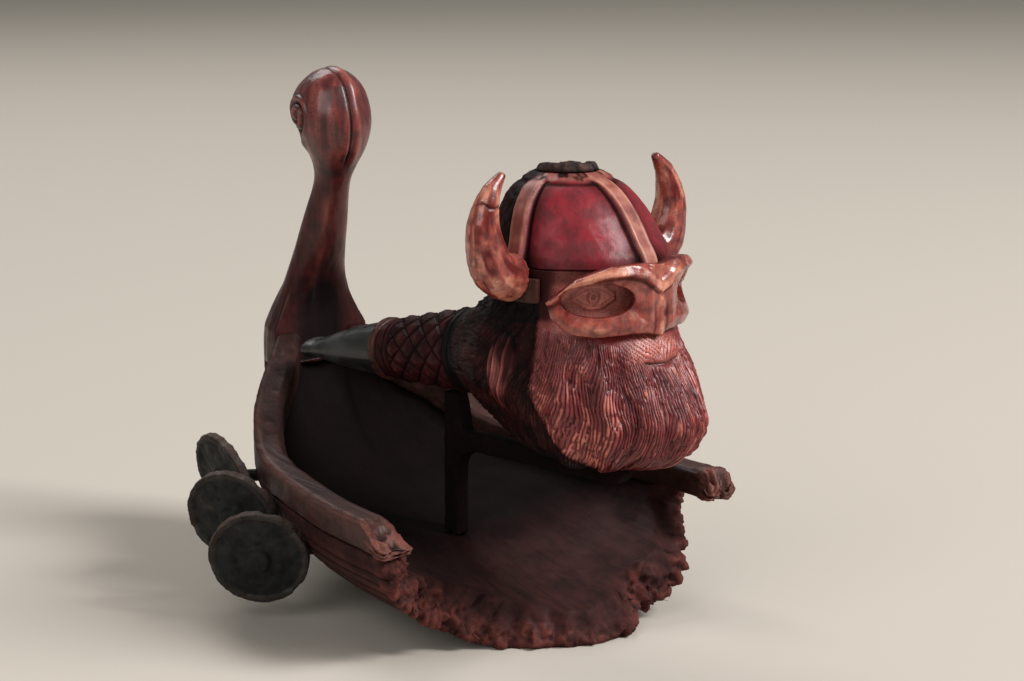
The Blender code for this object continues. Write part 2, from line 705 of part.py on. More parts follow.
def make_spectacle_guard(pipe):
    bm = bmesh.new()
    raised = bm.verts.layers.float.new("raised")
    angles = guard_angles()
    for side in (-1, 1):
        rings = []
        for angle in angles:
            edge = guard_edge(angle)
            hole = Vector(EYE_CENTRE) + Vector((EYE_HALF_WIDTH * cos(angle), EYE_HALF_HEIGHT * sin(angle)))
            points = (hole, hole.lerp(edge, GUARD_RIDGE_AT), edge)
            rings.append([bm.verts.new((side * point.x, point.y, 0)) for point in points])
            rings[-1][1][raised] = GUARD_RIDGE
        for ring, following in zip(rings, rings[1:] + rings[:1]):
            for k in (0, 1):
                bm.faces.new((ring[k], ring[k + 1], following[k + 1], following[k]))
    bmesh.ops.remove_doubles(bm, verts=bm.verts, dist=WELD)
    bmesh.ops.recalc_face_normals(bm, faces=bm.faces)
    front = bmesh.ops.extrude_face_region(bm, geom=list(bm.faces), use_keep_orig=True)["geom"]
    for item in front:
        if isinstance(item, bmesh.types.BMVert):
            item.co.z = 1
    inner = along(DOME_LINE, DOME_LINE[0][0]) + STRAP_RAISE + GAP
    for vert in bm.verts:
        radius = inner + (GUARD_THICKNESS + vert[raised]) * vert.co.z
        angle = vert.co.x / inner
        vert.co = Vector((radius * sin(angle), -radius * cos(angle), vert.co.y))
    guard = add_piece("spectacle_guard", bm, HORN_ORANGE, VARNISHED, pipe)
    guard.location.y = HEAD_Y
    return guard


# Shape of the head's side that the horns are fitted to
def make_horn_seat(pipe):
    bm = bmesh.new()
    low, high = DOME_LINE[0][0], DOME_LINE[-1][0]
    band = band_radius() + BAND_THICKNESS + GAP
    profile = [(band, 0), (band, BAND_BOTTOM + BAND_HEIGHT + GAP)]
    profile += [(along(DOME_LINE, z) + STRAP_RAISE + GAP, z) for z in spaced(low, high, DOME_ROWS)]
    add_turned(bm, profile, 4 * TURN_SIDES)
    seat = add_tool("horn_seat", bm, pipe)
    seat.location.y = HEAD_Y
    return seat


def horn_point(share, side):
    places = [(i / (len(HORN_LINE) - 1), *station) for i, station in enumerate(HORN_LINE)]
    out, z, radius = [along(places, share, column) for column in (1, 2, 3)]
    return Vector((side * out, 0, z)), radius


def make_horn(name, side, pipe, seat, horn_holes):
    bm = bmesh.new()
    rings = []
    for share in spaced(0, 1, HORN_ROWS):
        middle, radius = horn_point(share, side)
        ahead = horn_point(min(1, share + HORN_NUDGE), side)[0]
        ahead -= horn_point(max(0, share - HORN_NUDGE), side)[0]
        across = Vector((0, 1, 0))
        rings.append(circle(middle, across, ahead.normalized().cross(across), radius, HORN_SIDES))
    add_loft(bm, rings)
    horn = add_piece(name, bm, HORN_ORANGE, VARNISHED, pipe)
    horn.location.y = HEAD_Y
    combine(horn, seat)
    combine(horn, horn_holes)
    return horn


def add_horn_peg(bm, side, clearance):
    face = band_radius() + BAND_THICKNESS
    start = Vector((side * (face - HORN_PEG_IN_HEAD - clearance), HEAD_Y, HORN_PEG_HEIGHT))
    end = Vector((side * (face + HORN_PEG_IN_HORN + clearance), HEAD_Y, HORN_PEG_HEIGHT))
    add_rod(bm, start, end, HORN_PEG_RADIUS + clearance, PEG_SIDES)


def make_shank_ring(shank_end):
    bm = bmesh.new()
    bore = TENON_RADIUS + GAP
    chamfer = RING_LENGTH / 4
    low, high = GAP, GAP + RING_LENGTH
    profile = [(bore, low), (RING_RADIUS - chamfer, low), (RING_RADIUS, low + chamfer),
               (RING_RADIUS, high - chamfer), (RING_RADIUS - chamfer, high), (bore, high)]
    add_turned(bm, profile, TURN_SIDES, closed=True)
    return add_piece("shank_ring", bm, HEAD_BROWN, WAXED, shank_end)


def mouthpiece_start():
    return RING_LENGTH + 2 * GAP


def make_mouthpiece(shank_end, tenon_hole):
    bm = bmesh.new()
    rings = []
    for distance in spaced(0, MOUTHPIECE_SECTIONS[-1][0], MOUTHPIECE_ROWS):
        half_width, half_thick = [along(MOUTHPIECE_SECTIONS, distance, column) for column in (1, 2)]
        x = Vector((half_width / half_thick, 0, 0))
        middle = Vector((0, 0, mouthpiece_start() + distance))
        rings.append(circle(middle, x, Vector((0, 1, 0)), half_thick, TURN_SIDES))
    add_loft(bm, rings)
    mouthpiece = add_piece("mouthpiece", bm, STEM_BLACK, POLISHED, shank_end)
    combine(mouthpiece, tenon_hole)
    bm = bmesh.new()
    end = mouthpiece_start() + MOUTHPIECE_SECTIONS[-1][0]
    add_rod(bm, Vector((0, 0, 0)), Vector((0, 0, end + TENON_RADIUS)), DRAUGHT_RADIUS)
    combine(mouthpiece, add_tool("airway", bm, shank_end))
    return mouthpiece


def make_tenon(shank_end):
    bm = bmesh.new()
    low = -TENON_IN_SHANK
    high = mouthpiece_start() + TENON_IN_MOUTHPIECE
    profile = [(DRAUGHT_RADIUS, low), (TENON_RADIUS, low), (TENON_RADIUS, high), (DRAUGHT_RADIUS, high)]
    add_turned(bm, profile, TURN_SIDES, closed=True)
    return add_piece("tenon", bm, STEM_BLACK, POLISHED, shank_end)


def make_tenon_hole(shank_end):
    bm = bmesh.new()
    start = Vector((0, 0, 0))
    end = Vector((0, 0, mouthpiece_start() + TENON_IN_MOUTHPIECE + GAP))
    add_rod(bm, start, end, TENON_RADIUS + GAP, TURN_SIDES)
    return add_tool("tenon_hole", bm, shank_end)


# World place of a point given in the pipe's frame
def from_pipe(point):
    return Matrix.Translation((0, 0, PIPE_HEIGHT)) @ Matrix.Rotation(PIPE_TURN, 4, "Z") @ point


def floor_under(hull_tree, point):
    above = from_pipe(point)
    return hull_tree.ray_cast(above, Vector((0, 0, -1)))[0].z - PIPE_HEIGHT


# Outline of the cradle from its foot, round the seat under the shank and the arm under the chin
def rest_outline():
    chin = HEAD_SECTIONS[0][0] - GAP
    knee = chin - REST_ARM_HEIGHT
    outline = [(y, shank_underside(y) - GAP) for y in (REST_BACK_Y, REST_FRONT_Y)]
    outline += [(REST_FRONT_Y - REST_ARM_HEIGHT / 2, chin)]
    middle = Vector((REST_ARM_END_Y, chin - REST_ARM_HEIGHT / 2))
    for angle in spaced(pi / 2, 3 * pi / 2, REST_ARM_STEPS):
        outline.append((middle.x + REST_ARM_HEIGHT / 2 * cos(angle), middle.y + REST_ARM_HEIGHT / 2 * sin(angle)))
    for angle in spaced(pi / 2, 0, REST_KNEE_STEPS):
        outline.append((REST_FRONT_Y - REST_KNEE + REST_KNEE * cos(angle),
                        knee - REST_KNEE + REST_KNEE * sin(angle)))
    return outline


def make_rest_post(pipe, hull_tree, dowel_holes):
    bm = bmesh.new()
    rings = []
    for x in spaced(-REST_THICKNESS / 2, REST_THICKNESS / 2, 4):
        ring = [Vector((x, y, z)) for y, z in rest_outline()]
        for y in spaced(REST_FRONT_Y, REST_BACK_Y, 3):
            foot = Vector((x, y, HEAD_SECTIONS[0][0]))
            ring.append(Vector((x, y, floor_under(hull_tree, foot) + GAP)))
        rings.append(ring)
    add_loft(bm, rings)
    rest = add_piece("rest_post", bm, DARK_HULL, SATIN, pipe)
    combine(rest, dowel_holes)
    return rest


def add_rest_dowel(bm, hull_tree, clearance):
    y = (REST_FRONT_Y + REST_BACK_Y) / 2
    place = Vector((0, y, HEAD_SECTIONS[0][0]))
    foot = from_pipe(place)
    foot.z = floor_under(hull_tree, place) + PIPE_HEIGHT
    down = Vector((0, 0, REST_DOWEL_IN_HULL + clearance))
    up = Vector((0, 0, REST_DOWEL_IN_POST + clearance))
    add_rod(bm, foot - down, foot + up, REST_DOWEL_RADIUS + clearance)


def add_empty(name, location, rotation, parent=None):
    empty = add_object(name, None, parent)
    empty.location = location
    empty.rotation_euler = rotation
    return empty


def make_ship(pipe):
    shape = hull_shape()
    hull_tree = BVHTree.FromBMesh(shape)
    hull = add_piece("hull", shape, DARK_HULL, SATIN)
    combine(hull, make_base_cut())

    bm = bmesh.new()
    for name, middle, outward, facing in shield_seats():
        add_shield_peg(bm, hull_tree, middle, outward, GAP)
    peg_holes = add_tool("peg_holes", bm)
    bm = bmesh.new()
    for name, place in post_dowel_places():
        add_post_dowel(bm, place, GAP)
    add_rest_dowel(bm, hull_tree, GAP)
    dowel_holes = add_tool("dowel_holes", bm)
    combine(hull, peg_holes)
    combine(hull, dowel_holes)

    make_rail("rail_starboard", -1, RAIL_END_STARBOARD)
    make_rail("rail_port", 1, RAIL_END_PORT)
    combine(make_stern_post(), dowel_holes)
    for name, place in post_dowel_places():
        bm = bmesh.new()
        add_post_dowel(bm, place, 0)
        add_piece("post_dowel_" + name, bm, PEG_WOOD, BARE)
    make_shields(peg_holes)
    for name, middle, outward, facing in shield_seats():
        bm = bmesh.new()
        add_shield_peg(bm, hull_tree, middle, outward, 0)
        add_piece("shield_peg_" + name, bm, PEG_WOOD, BARE)
    make_rest_post(pipe, hull_tree, dowel_holes)
    bm = bmesh.new()
    add_rest_dowel(bm, hull_tree, 0)
    add_piece("rest_dowel", bm, PEG_WOOD, BARE)


def make_pipe(pipe, shank_end):
    bm = bmesh.new()
    for name, side in HANDS:
        add_horn_peg(bm, side, GAP)
    horn_holes = add_tool("horn_holes", bm, pipe)
    combine(make_pipe_block(pipe, shank_end), horn_holes)
    make_helmet(pipe, horn_holes)
    make_brow_band(pipe, horn_holes)
    make_spectacle_guard(pipe)
    seat = make_horn_seat(pipe)
    for name, side in HANDS:
        make_horn("horn_" + name, side, pipe, seat, horn_holes)
        bm = bmesh.new()
        add_horn_peg(bm, side, 0)
        add_piece("horn_peg_" + name, bm, PEG_WOOD, BARE, pipe)
    make_bowl_liner(pipe)
    make_shank_ring(shank_end)
    make_mouthpiece(shank_end, make_tenon_hole(shank_end))
    make_tenon(shank_end)


def build():
    for item in list(bpy.data.objects):
        bpy.data.objects.remove(item)
    pipe = add_empty("pipe_frame", (0, 0, PIPE_HEIGHT), (0, 0, PIPE_TURN))
    shank_end = add_empty("shank_end", (0, SHANK_END_Y, SHANK_END_Z), (-pi / 2 - SHANK_SLOPE, 0, 0), pipe)
    make_ship(pipe)
    make_pipe(pipe, shank_end)


build()
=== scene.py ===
import math
import bmesh
import bpy
import numpy as np
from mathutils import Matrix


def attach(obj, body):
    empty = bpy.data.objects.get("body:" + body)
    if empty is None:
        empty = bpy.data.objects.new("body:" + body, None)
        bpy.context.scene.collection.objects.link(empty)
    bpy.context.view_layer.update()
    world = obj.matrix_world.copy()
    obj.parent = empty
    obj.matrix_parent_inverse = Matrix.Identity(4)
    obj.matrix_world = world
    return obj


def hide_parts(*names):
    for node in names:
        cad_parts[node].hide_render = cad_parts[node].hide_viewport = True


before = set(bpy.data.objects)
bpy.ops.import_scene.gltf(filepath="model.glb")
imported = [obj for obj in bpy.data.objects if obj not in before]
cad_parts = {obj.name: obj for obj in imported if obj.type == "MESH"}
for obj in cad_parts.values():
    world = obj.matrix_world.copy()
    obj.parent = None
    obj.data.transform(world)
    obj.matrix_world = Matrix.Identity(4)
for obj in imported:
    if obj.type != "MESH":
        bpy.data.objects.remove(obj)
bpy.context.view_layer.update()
print("stage: frame loaded")

# Shared measures; shapes below are worked out in millimetres
common = {"mm": 0.001, "weld": 1e-6, "pipeHeight": 66.0, "pipeTurn": math.radians(10),
          "headY": -21.0, "crownY": -17.0, "degreesPerRadian": 57.3}


# Curves, noise and masks

def smooth(low, high, value):
    share = np.clip((value - low) / (high - low), 0, 1)
    return share * share * (3 - 2 * share)


def bell(value, centre, width):
    return np.exp(-(((value - centre) / width) ** 2))


# Smooth curve without overshoot through stations
def curveAt(stations, at, column=1):
    places = np.array([station[0] for station in stations], float)
    values = np.array([station[column] for station in stations], float)
    gaps = np.diff(places)
    climbs = np.diff(values) / gaps
    slopes = np.concatenate(([climbs[0]], np.zeros(len(places) - 2), [climbs[-1]]))
    for k in range(1, len(places) - 1):
        before, after = climbs[k - 1], climbs[k]
        if before * after > 0:
            slopes[k] = 2 * before * after / (before + after)
    at = np.clip(at, places[0], places[-1])
    k = np.clip(np.searchsorted(places, at) - 1, 0, len(gaps) - 1)
    t = (at - places[k]) / gaps[k]
    rise = t * t * (3 - 2 * t)
    lead = t * (1 - t) ** 2 * gaps[k] * slopes[k]
    tail = t * t * (t - 1) * gaps[k] * slopes[k + 1]
    return values[k] + (values[k + 1] - values[k]) * rise + lead + tail


# Repeatable value from 0 to 1 for whole-number cells
def cellValue(cells, seed):
    mixed = (cells[..., 0] * 73856093) ^ (cells[..., 1] * 19349663) ^ (cells[..., 2] * 83492791)
    mixed = (mixed ^ (seed * 97531 + 12345)) & 0xFFFFFFFF
    mixed = ((mixed ^ (mixed >> 13)) * 1274126177) & 0xFFFFFFFF
    return ((mixed ^ (mixed >> 16)) & 0xFFFF) / 65535


# Soft noise from -1 to 1; size is the width of its lumps
def noiseAt(points, size, seed, octaves=2):
    total, weight, weights = 0, 1.0, 0
    for octave in range(octaves):
        place = points / size * 2**octave
        cell = np.floor(place).astype(np.int64)
        share = place - cell
        share = share * share * (3 - 2 * share)
        value = 0
        for corner in range(8):
            offset = np.array([(corner >> axis) & 1 for axis in range(3)])
            part = np.where(offset == 1, share, 1 - share).prod(axis=-1)
            value = value + part * cellValue(cell + offset, seed + octave)
        total = total + weight * (value * 2 - 1)
        weights += weight
        weight *= 0.5
    return total / weights


def flatNoise(a, b, size, seed, octaves=2):
    a, b = np.broadcast_arrays(a, b)
    return noiseAt(np.stack([a, b, np.zeros_like(a, float)], axis=-1), size, seed, octaves)


# Rounded ridges with sharp grooves between them, and the number of each ridge
def ridges(place, pitch, power=2.2):
    share = place / pitch
    number = np.floor(share)
    return 1 - np.abs(2 * (share - number) - 1) ** power, number


# Whole-number cells for numbered strands
def strandCells(number, side=0):
    return np.stack([number, side + 0 * number, 0 * number], -1).astype(np.int64)


# Crumbled lumps with sharp dips between them
def crumbsAt(points, stretch, seed):
    return 0.8 - 2.2 * np.abs(noiseAt(points * (1, stretch, 1), 2.2, seed, 3))


def turned(points, turn):
    x = points[..., 0] * math.cos(turn) - points[..., 1] * math.sin(turn)
    y = points[..., 0] * math.sin(turn) + points[..., 1] * math.cos(turn)
    return np.stack([x, y, points[..., 2]], axis=-1)


# The pipe has a frame of its own, turned a little and raised above the table
def pipeToWorld(points):
    return turned(points, common["pipeTurn"]) + (0, 0, common["pipeHeight"])


def worldToPipe(points):
    return turned(points - (0, 0, common["pipeHeight"]), -common["pipeTurn"])


# Meshes

def addObject(name, data):
    made = bpy.data.objects.new(name, data)
    bpy.context.collection.objects.link(made)
    return made


# Plain mesh of an object with its modifiers; the object itself goes
def settled(holder):
    graph = bpy.context.evaluated_depsgraph_get()
    result = bpy.data.meshes.new_from_object(holder.evaluated_get(graph))
    bpy.data.objects.remove(holder)
    result.materials.clear()
    return result


# Grid of points to a closed mesh; columns wrap round, and the ends are capped or joined to each other
def gridMesh(name, rows, joined=False):
    count, across = rows.shape[:2]
    points = rows.reshape(-1, 3)
    index = np.arange(count * across).reshape(count, across)
    low = index if joined else index[:-1]
    high = np.roll(index, -1, axis=0) if joined else index[1:]
    quads = np.stack([low, np.roll(low, -1, axis=1), np.roll(high, -1, axis=1), high], axis=-1).reshape(-1, 4)
    faces = quads.tolist()
    if not joined:
        ends = np.stack([rows[0].mean(axis=0), rows[-1].mean(axis=0)])
        points = np.concatenate([points, ends])
        for end, ring in ((count * across, index[0]), (count * across + 1, index[-1])):
            faces += np.stack([ring, np.roll(ring, -1), np.full(across, end)], axis=-1).tolist()
    mesh = bpy.data.meshes.new(name)
    mesh.from_pydata((points * common["mm"]).tolist(), [], faces)
    bm = bmesh.new()
    bm.from_mesh(mesh)
    bmesh.ops.recalc_face_normals(bm, faces=bm.faces)
    bm.to_mesh(mesh)
    bm.free()
    return mesh


# Finer copy of a CAD node's mesh, made of even small faces
def refined(node, voxel, softening=2):
    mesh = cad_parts[node].data.copy()
    bm = bmesh.new()
    bm.from_mesh(mesh)
    bmesh.ops.remove_doubles(bm, verts=bm.verts, dist=common["weld"])
    bm.to_mesh(mesh)
    bm.free()
    holder = addObject("holder", mesh)
    voxels = holder.modifiers.new("voxels", "REMESH")
    voxels.mode = "VOXEL"
    voxels.voxel_size = voxel * common["mm"]
    soften = holder.modifiers.new("soften", "SMOOTH")
    soften.factor = 0.5
    soften.iterations = softening
    result = settled(holder)
    for attribute in [a for a in result.attributes if not a.is_required and not a.is_internal]:
        result.attributes.remove(attribute)
    return result


def pointsOf(mesh):
    values = np.empty(len(mesh.vertices) * 3, np.float32)
    mesh.vertices.foreach_get("co", values)
    return values.reshape(-1, 3).astype(float) / common["mm"]


def normalsOf(mesh):
    values = np.empty(len(mesh.vertices) * 3, np.float32)
    mesh.vertex_normals.foreach_get("vector", values)
    return values.reshape(-1, 3).astype(float)


# Points and normals of a mesh in the pipe's frame
def pipeSurface(mesh):
    return worldToPipe(pointsOf(mesh)), turned(normalsOf(mesh), -common["pipeTurn"])


def setPoints(mesh, points):
    mesh.vertices.foreach_set("co", (points * common["mm"]).astype(np.float32).ravel())
    mesh.update()


# Masks that the wood materials read: carve is 0 in grooves and 1 on ridges
def setMask(mesh, name, values):
    attribute = mesh.attributes.new(name, "FLOAT", "POINT")
    attribute.data.foreach_set("value", np.clip(values, 0, 1).astype(np.float32).ravel())


def addPiece(name, mesh, material, body, nodes, masks=None):
    for word, values in (masks or {}).items():
        setMask(mesh, word, values)
    mesh.polygons.foreach_set("use_smooth", np.ones(len(mesh.polygons), bool))
    mesh.materials.append(material)
    piece = addObject(name, mesh)
    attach(piece, body)
    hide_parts(*nodes)
    print("piece:", name, len(mesh.polygons), "faces")


# Materials

def newMaterial(name):
    material = bpy.data.materials.new(name)
    material.use_nodes = True
    return material, material.node_tree


# Sets a node's inputs, each from a socket or from a plain value
def plug(tree, node, links):
    for key, value in links.items():
        if isinstance(value, bpy.types.NodeSocket):
            tree.links.new(value, node.inputs[key])
        else:
            node.inputs[key].default_value = value


def addNode(tree, kind, links=None, **settings):
    made = tree.nodes.new(kind)
    for key, value in settings.items():
        setattr(made, key, value)
    plug(tree, made, links or {})
    return made


def mixColour(tree, share, first, second):
    return addNode(tree, "ShaderNodeMix", {0: share, 6: first, 7: second}, data_type="RGBA").outputs[2]


def ramp(tree, value, low, high, toLow=0.0, toHigh=1.0):
    ends = {"Value": value, "From Min": low, "From Max": high, "To Min": toLow, "To Max": toHigh}
    return addNode(tree, "ShaderNodeMapRange", ends, interpolation_type="SMOOTHSTEP").outputs[0]


def times(tree, a, b):
    return addNode(tree, "ShaderNodeMath", {0: a, 1: b}, operation="MULTIPLY").outputs[0]


# What all stained wood shares: its noises, and where each effect starts and ends
toning = {"blotchDetail": 5.0, "blotchRough": 0.62, "grainScale": 900.0, "grainDetail": 4.0,
          "grainRough": 0.6, "fleckScale": 2600.0, "fleckDetail": 2.0, "fleckRough": 0.5,
          "mottle": (0.44, 0.66), "grain": (0.45, 0.72), "groove": (0.05, 0.55, 0.85, 0.0),
          "ridge": (0.55, 1.0), "ridgeBlotch": (0.7, 0.35, 0.15, 0.75), "wornFleck": (0.38, 0.62, 0.35, 1.0),
          "black": (0.006, 0.005, 0.005, 1), "blackShare": 0.85, "gloss": (0.3, 0.7), "bumpDepth": 0.0002,
          "coatRough": 0.18, "plainCarve": 0.5,
          "dull": {"carve": (0.0, 0.5, 0.25, 1.0), "dark": (0.0, 0.9, 1.0, 0.12)}}


# Colour of stained, carved wood: mottles, grain, dark grooves, light ridges, worn places and painted
# highlights, places blackened, and places darkened as painted shade
def makeWoodTone(user):
    group = bpy.data.node_groups.new("woodTone", "ShaderNodeTree")
    sockets = {"INPUT": {"Vector": ("Place", "GrainPlace"), "Color": ("Base", "Shade", "Light"),
                         "Float": ("Mottle", "MottleScale", "Grain", "Carve", "Wearandhighlight", "Dark")},
               "OUTPUT": {"Color": ("Colour",), "Float": ("Gloss", "Height")}}
    for way, kinds in sockets.items():
        for kind, names in kinds.items():
            for name in names:
                group.interface.new_socket(name, in_out=way, socket_type="NodeSocket" + kind)
    given = addNode(group, "NodeGroupInput").outputs

    def noise(word, place, scale):
        return addNode(group, "ShaderNodeTexNoise", {
            "Vector": place, "Scale": scale, "Detail": user[word + "Detail"],
            "Roughness": user[word + "Rough"]}).outputs[0]

    blotch = noise("blotch", given["Place"], given["MottleScale"])
    streak = noise("grain", given["GrainPlace"], user["grainScale"])
    fleck = noise("fleck", given["Place"], user["fleckScale"])
    mottled = times(group, ramp(group, blotch, *user["mottle"]), given["Mottle"])
    colour = mixColour(group, mottled, given["Base"], given["Shade"])
    grained = times(group, ramp(group, streak, *user["grain"]), given["Grain"])
    colour = mixColour(group, grained, colour, given["Shade"])
    colour = mixColour(group, ramp(group, given["Carve"], *user["groove"]), colour, given["Shade"])
    raised = ramp(group, given["Carve"], *user["ridge"])
    lit = times(group, raised, ramp(group, blotch, *user["ridgeBlotch"]))
    colour = mixColour(group, lit, colour, given["Light"])
    wearandhighlight = times(group, given["Wearandhighlight"], ramp(group, fleck, *user["wornFleck"]))
    colour = mixColour(group, wearandhighlight, colour, given["Light"])
    black = mixColour(group, user["blackShare"], given["Shade"], user["black"])
    colour = mixColour(group, given["Dark"], colour, black)
    height = addNode(group, "ShaderNodeMath", {0: streak, 1: fleck}, operation="ADD").outputs[0]
    addNode(group, "NodeGroupOutput", {"Colour": colour, "Gloss": blotch, "Height": height})
    return group


def makeWood(name, tone, user):
    material, tree = newMaterial(name)
    place = addNode(tree, "ShaderNodeTexCoord").outputs["Object"]
    along = addNode(tree, "ShaderNodeMapping", {"Vector": place, "Scale": user["grainStretch"]}).outputs[0]
    given = {"Place": place, "GrainPlace": along, "Carve": toning["plainCarve"], "Wearandhighlight": 0.0, "Dark": 0.0,
             "Mottle": user["mottle"], "MottleScale": user["mottleScale"], "Grain": user["grain"]}
    for key in ("base", "shade", "light"):
        given[key.capitalize()] = (*user[key], 1)
    for key, colour in user.get("strap", {}).items():  # a second colour where the strap mask is 1
        mask = addNode(tree, "ShaderNodeAttribute", attribute_name="strap").outputs["Fac"]
        given[key.capitalize()] = mixColour(tree, mask, (*user[key], 1), (*colour, 1))
    shine = 1.0
    for word in user.get("masks", ("carve", "wearandhighlight", "dark")):
        mask = addNode(tree, "ShaderNodeAttribute", attribute_name=word).outputs["Fac"]
        given[word.capitalize()] = mask
        # grooves, and places blackened or darkened as painted shade, shine less
        if word in toning["dull"]:  # grooves and blackened places shine less
            shine = times(tree, shine, ramp(tree, mask, *toning["dull"][word]))
    wood = addNode(tree, "ShaderNodeGroup", given, node_tree=tone)
    bumps = addNode(tree, "ShaderNodeBump", {"Strength": user["bump"], "Distance": toning["bumpDepth"],
                                             "Height": wood.outputs["Height"]})
    plug(tree, tree.nodes["Principled BSDF"], {
        "Base Color": wood.outputs["Colour"], "Normal": bumps.outputs[0],
        "Roughness": ramp(tree, wood.outputs["Gloss"], *toning["gloss"], *user["rough"]),
        "Coat Weight": times(tree, shine, user["coat"]), "Coat Roughness": toning["coatRough"],
        "Specular IOR Level": times(tree, shine, user["specular"])})
    return material


# Stains and finishes; a wood without masks of its own reads all three
woods = {
    "hull": {"base": (0.046, 0.011, 0.009), "shade": (0.010, 0.004, 0.004), "light": (0.160, 0.040, 0.032),
             "mottle": 0.6, "mottleScale": 90.0, "grain": 0.55, "grainStretch": (1, 0.06, 1),
             "rough": (0.6, 0.8), "bump": 0.35, "specular": 0.16, "coat": 0.0},
    "rail": {"base": (0.058, 0.018, 0.013), "shade": (0.014, 0.005, 0.004), "light": (0.240, 0.074, 0.054),
             "mottle": 0.6, "mottleScale": 140.0, "grain": 0.6, "grainStretch": (1, 0.06, 1),
             "rough": (0.42, 0.62), "bump": 0.35, "specular": 0.3, "coat": 0.0},
    "post": {"base": (0.120, 0.018, 0.017), "shade": (0.022, 0.006, 0.006), "light": (0.460, 0.115, 0.092),
             "mottle": 0.7, "mottleScale": 170.0, "grain": 0.5, "grainStretch": (1, 1, 0.07),
             "rough": (0.26, 0.44), "bump": 0.12, "specular": 0.45, "coat": 0.25},
    "shield": {"base": (0.014, 0.016, 0.015), "shade": (0.006, 0.006, 0.006), "light": (0.110, 0.066, 0.052),
               "mottle": 0.7, "mottleScale": 260.0, "grain": 0.4, "grainStretch": (1, 1, 0.1),
               "rough": (0.5, 0.75), "bump": 0.35, "specular": 0.3, "coat": 0.0},
    "head": {"base": (0.205, 0.022, 0.023), "shade": (0.012, 0.003, 0.003), "light": (0.720, 0.225, 0.165),
             "mottle": 0.3, "mottleScale": 260.0, "grain": 0.25, "grainStretch": (1, 1, 0.12),
             "rough": (0.32, 0.50), "bump": 0.15, "specular": 0.55, "coat": 0.0},
    "helmet": {"base": (0.280, 0.010, 0.022), "shade": (0.060, 0.008, 0.009), "light": (0.360, 0.140, 0.110),
               "mottle": 0.6, "mottleScale": 170.0, "grain": 0.45, "grainStretch": (1, 1, 0.3),
               "rough": (0.38, 0.58), "bump": 0.2, "specular": 0.35, "coat": 0.05,
               "strap": {"base": (0.270, 0.058, 0.046), "light": (0.620, 0.280, 0.200)}},
    "strap": {"base": (0.150, 0.042, 0.030), "shade": (0.024, 0.008, 0.007), "light": (0.400, 0.170, 0.115),
              "mottle": 0.7, "mottleScale": 260.0, "grain": 0.35, "grainStretch": (1, 1, 0.15),
              "rough": (0.3, 0.5), "bump": 0.15, "specular": 0.45, "coat": 0.15},
    "guard": {"base": (0.310, 0.050, 0.034), "shade": (0.090, 0.010, 0.010), "light": (0.760, 0.315, 0.205),
              "mottle": 0.8, "mottleScale": 420.0, "grain": 0.6, "grainStretch": (1, 1, 0.25),
              "rough": (0.22, 0.42), "bump": 0.12, "specular": 0.5, "coat": 0.4},
    "peg": {"base": (0.022, 0.012, 0.009), "shade": (0.010, 0.006, 0.005), "light": (0.060, 0.032, 0.024),
            "mottle": 0.5, "mottleScale": 300.0, "grain": 0.5, "grainStretch": (0.1, 1, 1),
            "rough": (0.5, 0.7), "bump": 0.3, "specular": 0.3, "coat": 0.0, "masks": ()},
    "char": {"base": (0.034, 0.017, 0.014), "shade": (0.008, 0.005, 0.005), "light": (0.170, 0.075, 0.055),
             "mottle": 0.7, "mottleScale": 500.0, "grain": 0.2, "grainStretch": (1, 1, 1),
             "rough": (0.6, 0.9), "bump": 0.7, "specular": 0.3, "coat": 0.0, "masks": ("carve",)},
}
woodTone = makeWoodTone(toning)
madeWood = {name: makeWood(name + "Wood", woodTone, user) for name, user in woods.items()}

# Polished black stem with faint smears
stem = {"base": (0.012, 0.012, 0.011), "bloom": (0.040, 0.040, 0.040), "bloomSmear": (0.4, 0.75),
        "scale": 180.0, "detail": 4.0, "rough": (0.30, 0.48), "roughSmear": (0.35, 0.7), "voxel": 0.3,
        "softening": {"mouthpiece": 4, "tenon": 1}}


def makeStem(user):
    material, tree = newMaterial("blackStem")
    place = addNode(tree, "ShaderNodeTexCoord").outputs["Object"]
    smear = addNode(tree, "ShaderNodeTexNoise", {"Vector": place, "Scale": user["scale"],
                                                 "Detail": user["detail"]}).outputs[0]
    bloom = ramp(tree, smear, *user["bloomSmear"])
    plug(tree, tree.nodes["Principled BSDF"], {
        "Roughness": ramp(tree, smear, *user["roughSmear"], *user["rough"]),
        "Base Color": mixColour(tree, bloom, (*user["base"], 1), (*user["bloom"], 1))})
    return material


stemMaterial = makeStem(stem)
print("stage: materials made")

